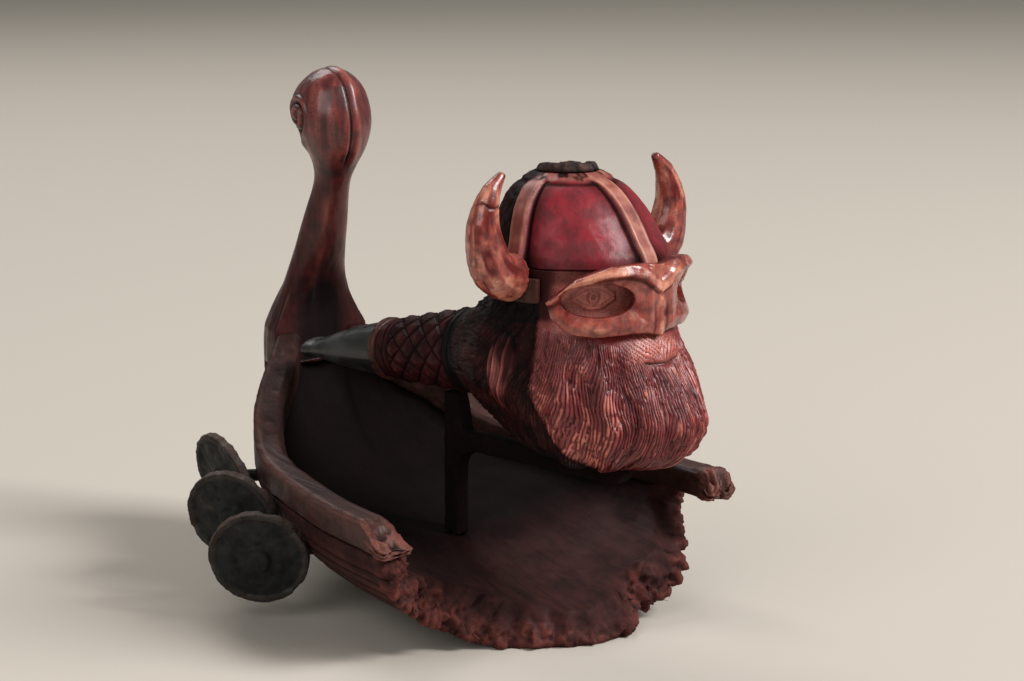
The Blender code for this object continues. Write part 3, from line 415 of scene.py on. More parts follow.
# Head with its beard, side locks and hair; angles in degrees from the nose
head = {"sections": ((-23.0, 12.0, -41.0, -13.0), (-21.5, 15.8, -46.5, -6.0), (-18.0, 19.5, -51.0, 1.0),
                     (-13.0, 21.4, -52.8, 8.0), (-6.0, 21.7, -50.0, 12.5), (0.0, 21.2, -46.5, 13.0),
                     (6.0, 20.6, -43.2, 9.5), (10.0, 20.3, -40.5, 4.0), (14.0, 20.2, -39.6, -0.8),
                     (21.7, 20.2, -40.2, -0.8)),
        "frontColumns": 700, "backColumns": 56, "fineTo": 114.0, "rowStep": 0.38, "arc": 21.0,
        "lockPitch": 8.1, "lockHeight": 0.8, "lockTop": 5.0,
        "neckEdge": (66.0, 84.0), "neckDepth": 5.0, "neckHeights": (-3.0, -18.0),
        "beardEdge": ((-23.0, 50.0), (-21.0, 56.0), (-17.0, 68.0), (-12.0, 77.0), (-5.0, 80.0), (9.0, 74.0)),
        "beardTop": ((0, 0.0), (12, 0.6), (22, 4.0), (45, 7.0), (70, 8.5)), "topBlur": 0.8, "edgeBlur": 3.0,
        "hairTop": (13.0, 15.5), "gapAway": 4.5, "gapHalf": 4.0, "gapDepth": 1.0,
        "pitch": 0.50, "strandDepth": 0.62, "clump": 3.0, "clumpDepth": 0.5, "stroke": 5.0,
        "fan": 0.017, "fanFrom": 5.0, "wave": 1.1, "crimp": 0.22, "slant": 0.09, "slantFrom": -8.0,
        "leafAngle": 97.0, "leafMiddle": -1.5, "leafHalf": (2.8, 9.2), "leafTilt": 0.10, "leafRise": 1.3,
        "leafPitch": 0.66, "leafShade": (1.0, 6.5),
        "moustache": 4.9, "moustacheBend": 0.020, "moustacheHalf": 2.7, "moustacheEnds": (9.0, 14.0),
        "moustachePitch": 0.85, "moustacheHighlight": (11.0, 4.0),
        "mouth": 1.2, "mouthBend": 0.010, "mouthHalf": 0.34, "mouthEnds": (4.8, 6.4), "mouthDepth": 0.75,
        "faceBottom": (7.0, 9.5), "templeSide": (58.0, 68.0), "templeBottom": (9.5, 11.5),
        "eyeAngle": 36.5, "eyeHeight": 15.9, "eyeHalf": (4.4, 1.9), "eyeArc": 19.5, "eyeOut": 1.3,
        "iris": 1.35, "pupil": (0.7, 0.4), "socketHalf": (6.0, 3.4), "socketDepth": 1.3,
        "noseHalf": 2.4, "noseTop": (17.0, 20.0), "noseOut": 2.0, "chinShade": (-19.0, -22.5),
        "browShade": (17.8, 19.5), "tipHeights": (-15.0, -22.0), "tipReach": 1.1, "tipDraw": 0.75}


# Hair strands: their lift in millimetres, their tone and the number of each strand
def hairStrands(user, s, height, seed):
    wave = user["wave"] * flatNoise(s, height * 0.6, 7.0, seed)
    wave += user["crimp"] * flatNoise(s, height * 0.5, 1.6, seed + 2)
    patch = flatNoise(s, height * 0.5, 3.4, seed + 14)
    crossed = smooth(0.08, 0.12, patch) - smooth(-0.12, -0.16, patch)  # locks that cross each other
    slant = user["slant"] * crossed
    place = s / (1 + user["fan"] * (user["fanFrom"] - height)) + wave + slant * (height - user["slantFrom"])
    strand, number = ridges(place, user["pitch"], 2.6)
    fine, _ = ridges(place + 0.3 * flatNoise(s, height, 2.2, seed + 4), user["pitch"] / 2.3, 2.0)
    cells = strandCells(number)
    part = height / user["stroke"] + 9 * cellValue(cells, seed + 6)
    cells[..., 1] = np.floor(part).astype(np.int64)
    stroke = cellValue(cells, seed + 8)
    taper = smooth(0.0, 0.25, part - np.floor(part))  # each chisel stroke starts from a small step
    clump, _ = ridges(place + 1.6 * flatNoise(s, height, 8.0, seed + 10), user["clump"], 1.6)
    fleck = smooth(0.0, 0.5, flatNoise(s, height * 0.6, 1.0, seed + 12))
    lift = user["strandDepth"] * (0.35 + 0.5 * stroke + 0.3 * taper) * (strand - 0.7) + 0.16 * (fine - 0.6)
    lift += user["clumpDepth"] * (clump - 0.6) + 0.22 * (stroke - 0.5) + 1.6 * slant
    # the fleck term paints speckled highlights on the strand crests
    tone = strand * (0.28 + 0.50 * stroke * taper + 0.20 * clump + 0.35 * fleck * stroke)
    tone += 0.10 * (fine - 0.5)
    tone *= 0.76 + 0.46 * smooth(-0.3, 0.4, flatNoise(s, height * 0.7, 5.0, seed + 16))
    return lift, tone, number


def makeHead(user):
    fine = math.radians(user["fineTo"])
    front = np.linspace(-fine, fine, user["frontColumns"], endpoint=False)
    back = np.linspace(fine, 2 * math.pi - fine, user["backColumns"], endpoint=False)
    angle = np.concatenate([front, back])
    angle = np.where(angle > math.pi, angle - 2 * math.pi, angle)
    low, high = user["sections"][0][0], user["sections"][-1][0]
    z = np.linspace(low, high, int((high - low) / user["rowStep"]))
    theta, height = np.meshgrid(angle, z)
    across = np.degrees(np.abs(theta))
    s = theta * user["arc"]
    reach = np.abs(s)

    # thick locks and the drawn-in neck, as in the solid
    behind = smooth(*user["neckEdge"], across)
    solid = user["lockHeight"] * np.cos(2 * math.pi * s / user["lockPitch"])
    solid *= smooth(user["lockTop"], user["lockTop"] - user["lockPitch"], height) * (1 - behind)
    solid -= user["neckDepth"] * behind * smooth(*user["neckHeights"], height)

    # beard strands in front and darker hair behind, with a gap between them; the hair's darkness is its own
    # colour together with painted shade
    beardSide = curveAt(user["beardEdge"], height)
    beardTop = np.interp(across, *zip(*user["beardTop"]))
    pastEdge = smooth(beardSide - user["edgeBlur"], beardSide + user["edgeBlur"], across)
    beard = smooth(-user["topBlur"], user["topBlur"], beardTop - height) * (1 - pastEdge)
    hair = pastEdge * (1 - smooth(*user["hairTop"], height))
    cover = np.clip(beard + hair, 0, 1)
    strands, strandTone, number = hairStrands(user, s, height, 3)
    lift = cover * strands + hair * 0.5 * flatNoise(s, height, 4.0, 17, 3)
    lift -= user["gapDepth"] * bell(across, beardSide + user["gapAway"], user["gapHalf"]) * hair
    tone = 0.5 * (1 - cover) + cover * strandTone
    temple = smooth(*user["templeSide"], across) * smooth(*user["templeBottom"], height)
    # nearly black hair behind, painted shade under the chin and above the brow, and darker at the temples
    dark = hair * (0.93 + 0.1 * flatNoise(s, height, 3.0, 19)) + 0.1 * smooth(*user["chinShade"], height)
    dark += 0.85 * temple + 0.6 * smooth(*user["browShade"], height) * (1 - temple)

    # leaf-shaped lock at each temple
    leafZ = height - user["leafMiddle"]
    leafX = (across - user["leafAngle"]) / common["degreesPerRadian"] * user["arc"] + user["leafTilt"] * leafZ
    halfWidth, halfHeight = user["leafHalf"]
    narrow = 0.30 + 0.70 * smooth(-halfHeight, 2.0, leafZ)
    leafEdge = (leafX / (halfWidth * narrow)) ** 2 + (leafZ / halfHeight) ** 4
    leaf = 1 - smooth(0.7, 1.05, leafEdge)
    leafNoise = flatNoise(leafX, leafZ * 0.4, 1.8, 21, 2)
    leafStrand, leafNumber = ridges(leafX / narrow + 0.45 * leafNoise, user["leafPitch"], 2.4)
    lift = lift * (1 - leaf) + leaf * (user["leafRise"] + 0.6 * (leafStrand - 0.5) - 1.1 * leafEdge)
    leafTone = leafStrand * (0.48 + 0.32 * np.sin(2.3 * leafNumber) + 0.8 * leafNoise)
    tone = tone * (1 - leaf) + leaf * leafTone
    # painted shade at the lock's rim and towards its top
    leafDark = 0.45 * smooth(0.45, 0.95, leafEdge)
    leafDark += 0.75 * smooth(*user["leafShade"], leafZ + 1.5 * leafNoise)
    dark = dark * (1 - leaf) + leaf * leafDark

    # moustache and the mouth line under it
    lobe = user["moustache"] - user["moustacheBend"] * reach**2
    moustache = bell(height, lobe, user["moustacheHalf"]) * (1 - smooth(*user["moustacheEnds"], reach))
    combed = 0.75 * reach - 0.66 * (height - lobe) + 0.8 * flatNoise(s, height, 2.6, 23)
    hairLine, hairNumber = ridges(combed, user["moustachePitch"], 1.9)
    hairShade = cellValue(strandCells(hairNumber, s > 0), 25)
    lift += moustache * (0.35 + 0.42 * (hairLine - 0.5))
    tone = tone * (1 - moustache) + moustache * (0.15 + 0.6 * hairLine * (0.5 + 0.5 * hairShade))
    mouthLine = user["mouth"] + user["mouthBend"] * reach**2
    mouth = bell(height, mouthLine, user["mouthHalf"]) * (1 - smooth(*user["mouthEnds"], reach))
    lift -= user["mouthDepth"] * mouth
    tone *= 1 - 0.95 * mouth

    # plain almond eyes behind the guard, and a nose
    aboveMouth = smooth(*user["faceBottom"], height)
    face = aboveMouth * (1 - smooth(*user["templeSide"], across))
    eyeX = (across - user["eyeAngle"]) / common["degreesPerRadian"] * user["eyeArc"]
    eyeZ = height - user["eyeHeight"]
    halfWidth, halfHeight = user["eyeHalf"]
    lid = np.abs(eyeZ) - halfHeight * np.clip(1 - (eyeX / halfWidth) ** 2, 0, 1)
    near = 1 - smooth(halfWidth, halfWidth + 1.0, np.abs(eyeX))
    ball = smooth(0.2, -0.2, lid) * near
    away = np.hypot(eyeX, eyeZ)
    socket = bell(eyeX, 0, user["socketHalf"][0]) * bell(eyeZ, 0.2, user["socketHalf"][1])
    fold = near * bell(lid, 0.42, 0.36)
    lidLine = near * bell(lid, -0.1, 0.2)
    iris = ball * (bell(away, user["iris"], 0.26) + smooth(*user["pupil"], away))
    eye = ball * (user["eyeOut"] - 0.045 * away**2) + fold - 0.35 * iris
    lift += face * (eye - user["socketDepth"] * socket)
    faceTone = 0.68 - 0.1 * socket + 0.3 * ball + 0.35 * fold - 0.35 * lidLine - 0.35 * iris
    tone = tone * (1 - face) + face * np.clip(faceTone + 0.12 * flatNoise(s, height, 2.0, 29), 0, 1)
    nose = bell(s, 0, user["noseHalf"]) * aboveMouth * (1 - smooth(*user["noseTop"], height))
    lift += user["noseOut"] * nose

    # round the head's middle, with uneven strand tips under the chin
    total = solid + lift
    half = curveAt(user["sections"], height, 1) + total
    toFront = common["headY"] - curveAt(user["sections"], height, 2) + total
    toBack = curveAt(user["sections"], height, 3) - common["headY"] + total
    depth = np.where(np.cos(theta) > 0, toFront, toBack)
    tips = smooth(*user["tipHeights"], height) * beard
    drop = tips * (user["tipReach"] * cellValue(strandCells(number), 31) - user["tipDraw"])
    rows = np.stack([half * np.sin(theta), common["headY"] - depth * np.cos(theta), height - drop], axis=-1)
    # painted highlights: paler moustache towards the front and speckled pale beard crests low down; the face
    # is made lighter
    fleck = smooth(0.1, 0.6, flatNoise(s, height * 0.5, 0.9, 33))
    wearandhighlight = 0.95 * moustache * smooth(*user["moustacheHighlight"], reach) * hairLine
    wearandhighlight += 0.45 * face * (1 - 0.4 * socket)
    wearandhighlight += 0.55 * beard * fleck * smooth(0.45, 0.9, tone) * smooth(2.0, -14.0, height)
    masks = {"carve": tone, "dark": dark, "wearandhighlight": wearandhighlight}
    masks = {word: np.concatenate([mask.ravel(), np.zeros(2)]) for word, mask in masks.items()}
    return gridMesh("head", pipeToWorld(rows)), masks


headMesh, headMasks = makeHead(head)
addPiece("head", headMesh, madeWood["head"], "pipe_bowl", ("pipe_block",), headMasks)

# Shank behind the head: a carved lattice between borders, and the socket for the tenon
shank = {"endY": 38.5, "endZ": -7.2, "slope": math.radians(7.1), "length": 42.8, "endRadius": 7.2,
         "napeRadius": 11.8, "socketRadius": 4.3, "socketDepth": 17.0, "columns": 190, "step": 0.3,
         "arc": 9.0, "lattice": 6.2, "latticeFrom": (-25.5, -24.9), "latticeTo": (-4.8, -4.2),
         "grooveHalf": 0.42, "grooveDepth": 0.55, "knotHalf": 1.1, "knotHeight": 0.35, "rough": 0.12,
         "borders": (-2.4, -4.2, -25.5, -27.5), "borderHalf": 0.36, "napeShade": (-24.0, -30.0)}


def shankPoint(radius, turn, along):
    slope = shank["slope"]
    up = radius * np.cos(turn)
    return np.stack([radius * np.sin(turn), shank["endY"] + along * math.cos(slope) + up * math.sin(slope),
                     shank["endZ"] - along * math.sin(slope) + up * math.cos(slope)], axis=-1)


def makeShank(user):
    turn = np.linspace(0, 2 * math.pi, user["columns"], endpoint=False)
    along = np.linspace(-user["length"], 0, int(user["length"] / user["step"]))
    phi, t = np.meshgrid(turn, along)
    radius = user["endRadius"] + (user["napeRadius"] - user["endRadius"]) * (-t / user["length"])
    around = (phi - math.pi) * user["arc"]
    pitch = user["lattice"]
    first, second = (np.abs(way / pitch - np.round(way / pitch)) * pitch for way in (around + t, around - t))
    inside = smooth(*user["latticeFrom"], t) * (1 - smooth(*user["latticeTo"], t))
    groove = np.maximum(bell(first, 0, user["grooveHalf"]), bell(second, 0, user["grooveHalf"])) * inside
    knot = bell(np.hypot(first - pitch / 2, second - pitch / 2), 0, user["knotHalf"]) * inside
    for place in user["borders"]:
        groove = np.maximum(groove, bell(t, place, user["borderHalf"]))
    rough = flatNoise(around, t, 3.0, 41)
    radius = radius - user["grooveDepth"] * groove + user["knotHeight"] * knot * inside
    radius += user["rough"] * rough
    rows = [shankPoint(radius, phi, t)]
    bore = np.full((1, len(turn)), user["socketRadius"])
    for depth in (0.0, -user["socketDepth"]):
        rows.append(shankPoint(bore, turn[None], np.array([[depth]])))
    mesh = gridMesh("shank", pipeToWorld(np.concatenate(rows)))
    hidden = np.zeros(len(turn) * 2 + 2)
    tone = np.concatenate([(0.5 - 0.5 * groove + 0.3 * knot).ravel(), hidden])
    dark = np.concatenate([(0.86 + 0.12 * rough + 0.4 * smooth(*user["napeShade"], t)).ravel(), hidden + 1])
    return mesh, {"carve": tone, "dark": dark, "wearandhighlight": 0 * tone}


shankMesh, shankMasks = makeShank(shank)
addPiece("shank", shankMesh, madeWood["head"], "pipe_bowl", ("pipe_block",), shankMasks)
print("stage: head and shank carved")

# Helmet dome with raised straps and a collar round its top; angles in degrees from the nose
dome = {"line": ((22.0, 20.3), (24.0, 20.0), (27.0, 18.7), (30.0, 17.5), (34.0, 15.5), (37.5, 12.5),
                 (40.5, 7.8)),
        "top": 40.8, "rim": 7.4, "bore": 6.5, "columns": 480, "rows": 76, "strapHalf": 2.1, "strapRaise": 1.0,
        "grooveAway": 0.75, "grooveHalf": 0.4, "grooveDepth": 0.35, "beadIn": 0.55, "beadHalf": 0.35,
        "beadHeight": 0.12, "panelRough": 0.22, "chip": 0.4, "collar": 39.4, "collarBlur": 0.3,
        "collarGroove": (0.7, 0.35), "rearFrom": (93.0, 101.0), "rearTo": (172.0, 178.0), "shadeWidth": 3.2,
        "rubbedAt": (-13.0, 24.6), "rubbedHalf": (6.0, 1.9)}


def makeHelmet(user):
    angle = np.linspace(-math.pi, math.pi, user["columns"], endpoint=False)
    low, high = user["line"][0][0], user["line"][-1][0]
    z = np.linspace(low, high, user["rows"])
    theta, height = np.meshgrid(angle, z)
    radius = curveAt(user["line"], height)
    quarter = math.pi / 2
    strapHalf = user["strapHalf"]
    fromStrap = np.abs(theta - np.round(theta / quarter) * quarter) * radius
    strap = 1 - smooth(strapHalf - 0.3, strapHalf + 0.35, fromStrap)
    collar = smooth(user["collar"] - user["collarBlur"], user["collar"] + user["collarBlur"], height)
    raised = np.maximum(strap, collar)
    groove = bell(fromStrap, strapHalf + user["grooveAway"], user["grooveHalf"]) * (1 - collar)
    under, half = user["collarGroove"]
    groove = np.maximum(groove, bell(height, user["collar"] - under, half) * (1 - strap))
    edgeBead = bell(fromStrap, strapHalf - user["beadIn"], user["beadHalf"]) * (1 - collar)
    points = np.stack([radius * np.sin(theta), radius * np.cos(theta), height], axis=-1)
    panel = noiseAt(points, 3.4, 51, 3)
    chips = noiseAt(points, 1.5, 53)
    turn = np.degrees(theta)
    rear = smooth(*user["rearFrom"], np.abs(turn) + 4 * panel) * (1 - smooth(*user["rearTo"], np.abs(turn)))
    lift = raised * user["strapRaise"] * (1 - 0.7 * collar)
    lift += user["beadHeight"] * edgeBead - user["grooveDepth"] * groove
    lift += user["panelRough"] * panel * (1 - 0.6 * raised) + user["chip"] * np.maximum(collar, rear) * chips
    lift *= smooth(low, low + 0.6, height) * 0.6 + 0.4
    middle = common["headY"] + (common["crownY"] - common["headY"]) * (height - low) / (high - low)
    rows = np.stack([(radius + lift) * np.sin(theta), middle - (radius + lift) * np.cos(theta), height], -1)

    def ring(reach, level):
        return np.stack([reach * np.sin(angle), common["crownY"] - reach * np.cos(angle),
                         np.full_like(angle, level)], -1)[None]

    def withRings(mask):
        return np.concatenate([mask[:1], mask, mask[-1:], mask[-1:]]).ravel()

    rings = [ring(user["bore"], low), rows, ring(user["rim"], user["top"]), ring(user["bore"], user["top"])]
    mesh = gridMesh("helmet", pipeToWorld(np.concatenate(rings)), joined=True)
    shade = bell(fromStrap, strapHalf + 0.3, user["shadeWidth"]) * (1 - strap)
    shade += 0.8 * bell(height, low, user["shadeWidth"])
    tone = 0.5 - 0.4 * groove + 0.15 * raised + 0.25 * edgeBead + 0.3 * panel
    # painted shade: the back half is darkened, and the grooves, the panels beside the straps, the bottom edge
    # and the back of the collar are darker
    dark = 0.95 * rear + 0.45 * groove + 0.62 * shade * (1 - raised)
    dark += collar * smooth(-0.3, 0.3, chips - 0.4 * np.cos(theta))
    (rubbedTurn, rubbedHeight), (wide, tall) = user["rubbedAt"], user["rubbedHalf"]
    rubbed = bell(turn, rubbedTurn, wide) * bell(height, rubbedHeight, tall) * smooth(-0.4, 0.3, panel)
    wearandhighlight = 0.7 * rubbed * (1 - strap) + 0.3 * strap * smooth(0, 0.5, panel)
    masks = {"carve": tone, "dark": dark, "wearandhighlight": wearandhighlight, "strap": raised}
    return mesh, {word: withRings(mask) for word, mask in masks.items()}


helmetMesh, helmetMasks = makeHelmet(dome)
addPiece("helmetDome", helmetMesh, madeWood["helmet"], "pipe_bowl", ("helmet",), helmetMasks)

# Spectacle guard with thick brows
guard = {"voxel": 0.22, "arc": 21.6, "brow": 0.75, "browEdge": (-0.5, 0.1), "browFade": (2.0, 3.4),
         "browLine": ((0.0, 16.8), (2.0, 18.0), (5.0, 20.2), (9.0, 21.2), (13.0, 20.8), (19.0, 17.9),
                      (24.8, 14.4)),
         "nose": 0.75, "noseHalf": 0.8, "noseTop": (15.0, 17.5), "creaseUnder": -0.7, "creaseAside": 1.7,
         "creaseTop": (14.0, 16.0), "rough": 0.12}


def makeGuard(user):
    mesh = refined("spectacle_guard", user["voxel"])
    points, normals = pipeSurface(mesh)
    out = points - (0, common["headY"], 0)
    out[:, 2] = 0
    out /= np.linalg.norm(out, axis=1)[:, None]
    theta = np.arctan2(out[:, 0], -out[:, 1])
    s, height = np.abs(theta) * user["arc"], points[:, 2]
    facing = smooth(0.35, 0.8, (out * normals).sum(axis=1))

    # brow with a sharp lower edge, and a narrow ridge down the nose
    above = height - curveAt(user["browLine"], s)
    brow = smooth(*user["browEdge"], above) * (1 - 0.7 * smooth(*user["browFade"], above))
    nose = bell(s, 0, user["noseHalf"]) * (1 - smooth(*user["noseTop"], height))
    rough = noiseAt(points, 2.4, 61, 3)
    lift = facing * (user["brow"] * brow + user["nose"] * nose) + user["rough"] * rough
    setPoints(mesh, pipeToWorld(points + out * lift[:, None]))
    # painted shade in the creases under the brow and beside the nose and on faces turned aside; the brow's
    # crest and the nose ridge are lighter, wear together with painted highlight
    noseCrease = 0.8 * bell(s, user["creaseAside"], 0.4) * (1 - smooth(*user["creaseTop"], height))
    crease = facing * (bell(above, user["creaseUnder"], 0.35) + noseCrease)
    shown = np.clip(brow * bell(above, 1.1, 1.3) + nose, 0, 1) * facing
    tone = 0.50 + 0.35 * shown + 0.6 * rough - 0.25 * (1 - facing) - 0.5 * crease
    wearandhighlight = facing * (0.08 + 0.65 * shown) * smooth(-0.4, 0.4, rough)
    return mesh, {"carve": tone, "dark": 0.2 * (1 - facing) + 0.3 * crease, "wearandhighlight": wearandhighlight}


guardMesh, guardMasks = makeGuard(guard)
addPiece("spectacleGuard", guardMesh, madeWood["guard"], "pipe_bowl", ("spectacle_guard",),
         guardMasks)

# Horns, one with an old crack
horns = {"voxel": 0.34, "rough": 0.18, "crackHeight": 28.5, "crackTilt": 0.25, "crackWander": 0.9,
         "crackHalf": 0.28, "crackDepth": 0.4, "baseTop": (18.0, 23.0), "baseX": 20.0}


def makeHorn(node, user, cracked):
    mesh = refined(node, user["voxel"])
    points, normals = pipeSurface(mesh)
    x, _, z = points.T
    rough = noiseAt(points * (1, 1, 0.45), 2.4, 71, 3)
    crack = np.zeros(len(points))
    if cracked:
        line = z - user["crackHeight"] + user["crackTilt"] * x
        line -= user["crackWander"] * noiseAt(points, 2.0, 73)
        crack = bell(line, 0, user["crackHalf"]) * smooth(-0.2, 0.4, -normals[:, 1])
    lift = user["rough"] * rough - user["crackDepth"] * crack
    setPoints(mesh, pipeToWorld(points + normals * lift[:, None]))
    base = 1 - smooth(*user["baseTop"], z + 0.3 * (np.abs(x) - user["baseX"]))
    streaks = flatNoise(np.arctan2(normals[:, 1], normals[:, 0]) * 4, z * 0.25, 1.2, 77, 3)
    lit = smooth(-0.2, 0.6, noiseAt(points * (1, 1, 0.3), 3.0, 79, 2))
    return mesh, {"carve": 0.50 + 0.9 * streaks - crack + 0.15 * lit, "dark": 0.8 * crack + 0.15 * base,
                  "wearandhighlight": 0.95 * lit * smooth(-0.25, 0.25, streaks)}


for word, cracked in (("right", True), ("left", False)):
    hornMesh, hornMasks = makeHorn("horn_" + word, horns, cracked)
    addPiece("horn" + word.capitalize(), hornMesh, madeWood["guard"], "pipe_bowl",
             ("horn_" + word,), hornMasks)

# Band round the temples and nape
band = {"voxel": 0.3, "rough": 0.2, "lumps": 2.5, "seed": 81, "napeShade": (82.0, 104.0)}


# Roughened fine copy of a CAD node, its points and its noise
def makeRough(node, user):
    mesh = refined(node, user["voxel"])
    points, normals = pointsOf(mesh), normalsOf(mesh)
    grain = noiseAt(points, user["lumps"], user["seed"], 3)
    setPoints(mesh, points + normals * (user["rough"] * grain)[:, None])
    return mesh, points, grain


bandMesh, bandPoints, bandGrain = makeRough("brow_band", band)
bandX, bandY, _ = worldToPipe(bandPoints).T
bandTurn = np.degrees(np.abs(np.arctan2(bandX, common["headY"] - bandY)))
addPiece("browBand", bandMesh, madeWood["strap"], "pipe_bowl", ("brow_band",),
         {"carve": 0.5 + 0.5 * bandGrain, "dark": 0.62 + 0.38 * smooth(*band["napeShade"], bandTurn),
          "wearandhighlight": 0.4 * smooth(0.1, 0.5, bandGrain)})

# Charred bowl rim and chamber; the profile gives radius and height
liner = {"profile": ((1.4, 1.0), (6.2, 1.0), (6.2, 41.1), (6.9, 41.1), (6.6, 41.6), (6.0, 42.2), (5.0, 42.3),
                     (5.0, 5.0), (1.4, 5.0)),
         "columns": 140, "step": 0.35, "rough": 0.6, "inside": 5.1, "rimFrom": (40.0, 41.5),
         "topFrom": (41.2, 42.4), "high": 0.6, "highTurn": 0.63}


# Turned profile, split into short steps
def turnedRows(profile, columns, step):
    dense = []
    for a, b in zip(profile, profile[1:] + profile[:1]):
        count = max(1, int(math.dist(a, b) / step))
        dense += [(a[0] + (b[0] - a[0]) * k / count, a[1] + (b[1] - a[1]) * k / count) for k in range(count)]
    dense = np.array(dense)
    turn = np.linspace(0, 2 * math.pi, columns, endpoint=False)
    return dense[:, None, 0], dense[:, None, 1], turn[None]


def makeLiner(user):
    radius, level, turn = turnedRows(user["profile"], user["columns"], user["step"])
    points = np.stack(np.broadcast_arrays(radius * np.sin(turn), radius * np.cos(turn), level), -1)
    rough = noiseAt(points, 2.2, 91, 3)
    inside = radius < user["inside"]
    shown = np.clip(smooth(*user["rimFrom"], level) + inside, 0, 1)
    wide = radius + user["rough"] * rough * shown * np.where(inside, -1, 1)
    uneven = rough + user["high"] * np.cos(turn + user["highTurn"])
    rows = np.stack(np.broadcast_arrays(wide * np.sin(turn), common["crownY"] - wide * np.cos(turn),
                                        level + uneven * smooth(*user["topFrom"], level)), -1)
    mesh = gridMesh("bowlLiner", pipeToWorld(rows), joined=True)
    return mesh, {"carve": (0.5 + 0.6 * rough).ravel()}


linerMesh, linerMasks = makeLiner(liner)
addPiece("bowlLiner", linerMesh, madeWood["char"], "pipe_bowl", ("bowl_liner",), linerMasks)

# Ring at the end of the shank, and the black mouthpiece with its tenon
shankEnd = {"voxel": 0.28, "rough": 0.05, "lumps": 2.0, "seed": 95, "dark": 0.55}
ringMesh, _, ringGrain = makeRough("shank_ring", shankEnd)
addPiece("shankRing", ringMesh, madeWood["strap"], "pipe_bowl", ("shank_ring",),
         {"carve": 0.45 + 0.4 * ringGrain, "dark": shankEnd["dark"] + 0 * ringGrain, "wearandhighlight": 0 * ringGrain})
for name, node in (("mouthpieceStem", "mouthpiece"), ("tenonRod", "tenon")):
    stemMesh = refined(node, stem["voxel"], stem["softening"][node])
    addPiece(name, stemMesh, stemMaterial, "stem", (node,))
print("stage: helmet, guard, horns and stem made")

# Ship's hull: planks outside, worn hollow inside darkened with painted shade, broken bow edge
hull = {"voxel": 0.58, "rail": ((-30, 48.5), (0, 47.4), (40, 40.0), (55, 36.0), (67, 30.0), (83, 14.0)),
        "sheer": ((-30, 33.0), (40, 33.0), (55, 35.0), (67, 42.5), (83, 56.5)), "railHeight": 6.8,
        "middleY": 20.0, "middleZ": 45.0, "bilge": 0.85,
        "lip": ((-1.0, -18.0), (-0.6, -13.5), (-0.27, -20.5), (0.06, -29.0), (0.30, -27.5), (0.42, -20.0),
                (0.60, -22.5), (0.78, -18.0), (0.90, -10.5), (1.0, -4.5)),
        "lipSolid": 0.5, "lipWidth": 4.4, "lipWorn": 0.32, "crumble": 0.85, "fray": 0.75, "teeth": 2.0,
        "strakes": 13.0, "strakeDepth": 0.5, "strakeFrom": (0.06, 0.12), "strakeTo": (0.72, 0.82),
        "outerGrain": 0.12, "innerGrain": 0.10, "hollowWaves": 0.25, "shadeFrom": (-6.0, 24.0),
        "footFree": (0.05, 0.9), "footTop": 0.4, "footGap": 0.2}


def makeHull(user):
    mesh = refined("hull", user["voxel"], 1)
    points, normals = pointsOf(mesh), normalsOf(mesh)
    x, y, z = points.T
    across = np.clip(x / curveAt(user["rail"], y), -1, 1)
    fromLip = y - curveAt(user["lip"], across)
    edge = 1 - smooth(user["lipSolid"], user["lipWidth"], fromLip + 1.2 * noiseAt(points, 3.0, 101))
    toMiddle = np.stack([-x, (user["middleY"] - y) * 0.3, user["middleZ"] - z], -1)
    inside = smooth(-0.1, 0.25, (toMiddle * normals).sum(1) / np.linalg.norm(toMiddle, axis=1))
    top = curveAt(user["sheer"], y) - user["railHeight"]
    fall = np.clip((top - z) / np.maximum(top, 1.0), 0, 1) ** user["bilge"]
    girth = np.arctan2(fall, np.abs(across) ** user["bilge"]) / (math.pi / 2)
    wander = 0.15 * noiseAt(points * (0.3, 0.05, 1), 2.0, 103)
    plank, _ = ridges(girth * user["strakes"] + wander, 1.0, 4)
    outside = (1 - inside) * smooth(*user["strakeFrom"], girth) * (1 - smooth(*user["strakeTo"], girth))
    grain = noiseAt(points * (1, 0.10, 1), 1.5, 105, 3)
    lift = outside * (user["strakeDepth"] * (plank - 1) + user["outerGrain"] * grain)
    waves = user["hollowWaves"] * noiseAt(points * (1, 0.4, 1), 6.0, 107)
    lift += inside * (user["innerGrain"] * grain + waves)
    lumps = crumbsAt(points, 0.35, 109)
    fibre = 1 - 2 * np.abs(noiseAt(points * (1, 0.16, 0.7), 1.5, 111, 2))
    lift += edge * (user["crumble"] * lumps + user["fray"] * fibre)
    free = smooth(*user["footFree"], z)  # the flat bottom stays flat
    moved = points + normals * (lift * free)[:, None]
    moved[:, 1] += edge * free * user["teeth"] * noiseAt(points * (1, 0.2, 1), 2.1, 113, 2)
    moved[:, 2] = np.where(z > user["footTop"], np.maximum(moved[:, 2], user["footGap"]), moved[:, 2])
    setPoints(mesh, moved)
    tone = 0.45 + outside * (0.7 * plank - 0.5) + 0.25 * grain + edge * (0.45 * lumps + 0.35 * fibre - 0.15)
    # painted shade in the hollow, darker towards the stern
    paintedHollowShade = inside * (1 - edge) * (0.16 + 0.80 * smooth(*user["shadeFrom"], y))
    wearandhighlight = edge * smooth(0.0, 0.9, lumps + 0.3 * fibre) * user["lipWorn"]
    return mesh, {"carve": tone, "dark": paintedHollowShade, "wearandhighlight": wearandhighlight, "edge": edge}


hullMesh, hullMasks = makeHull(hull)
addPiece("hullCarved", hullMesh, madeWood["hull"], "ship_stand", ("hull",), hullMasks)

# Rails with a paler worn edge and chewed ends
rails = {"voxel": 0.4, "ends": {"starboard": -18.5, "port": -22.5}, "slope": {"starboard": 11.0, "port": 2.5},
         "gnawed": 0.75, "chewed": 9.0, "chewDepth": 1.1, "grain": 0.16, "teeth": 1.4, "teethHalf": 1.5,
         "wornIn": (0.9, 1.0), "wornUnder": (0.3, 1.3), "underShade": (2.0, 5.0), "sternShade": (52.0, 74.0)}


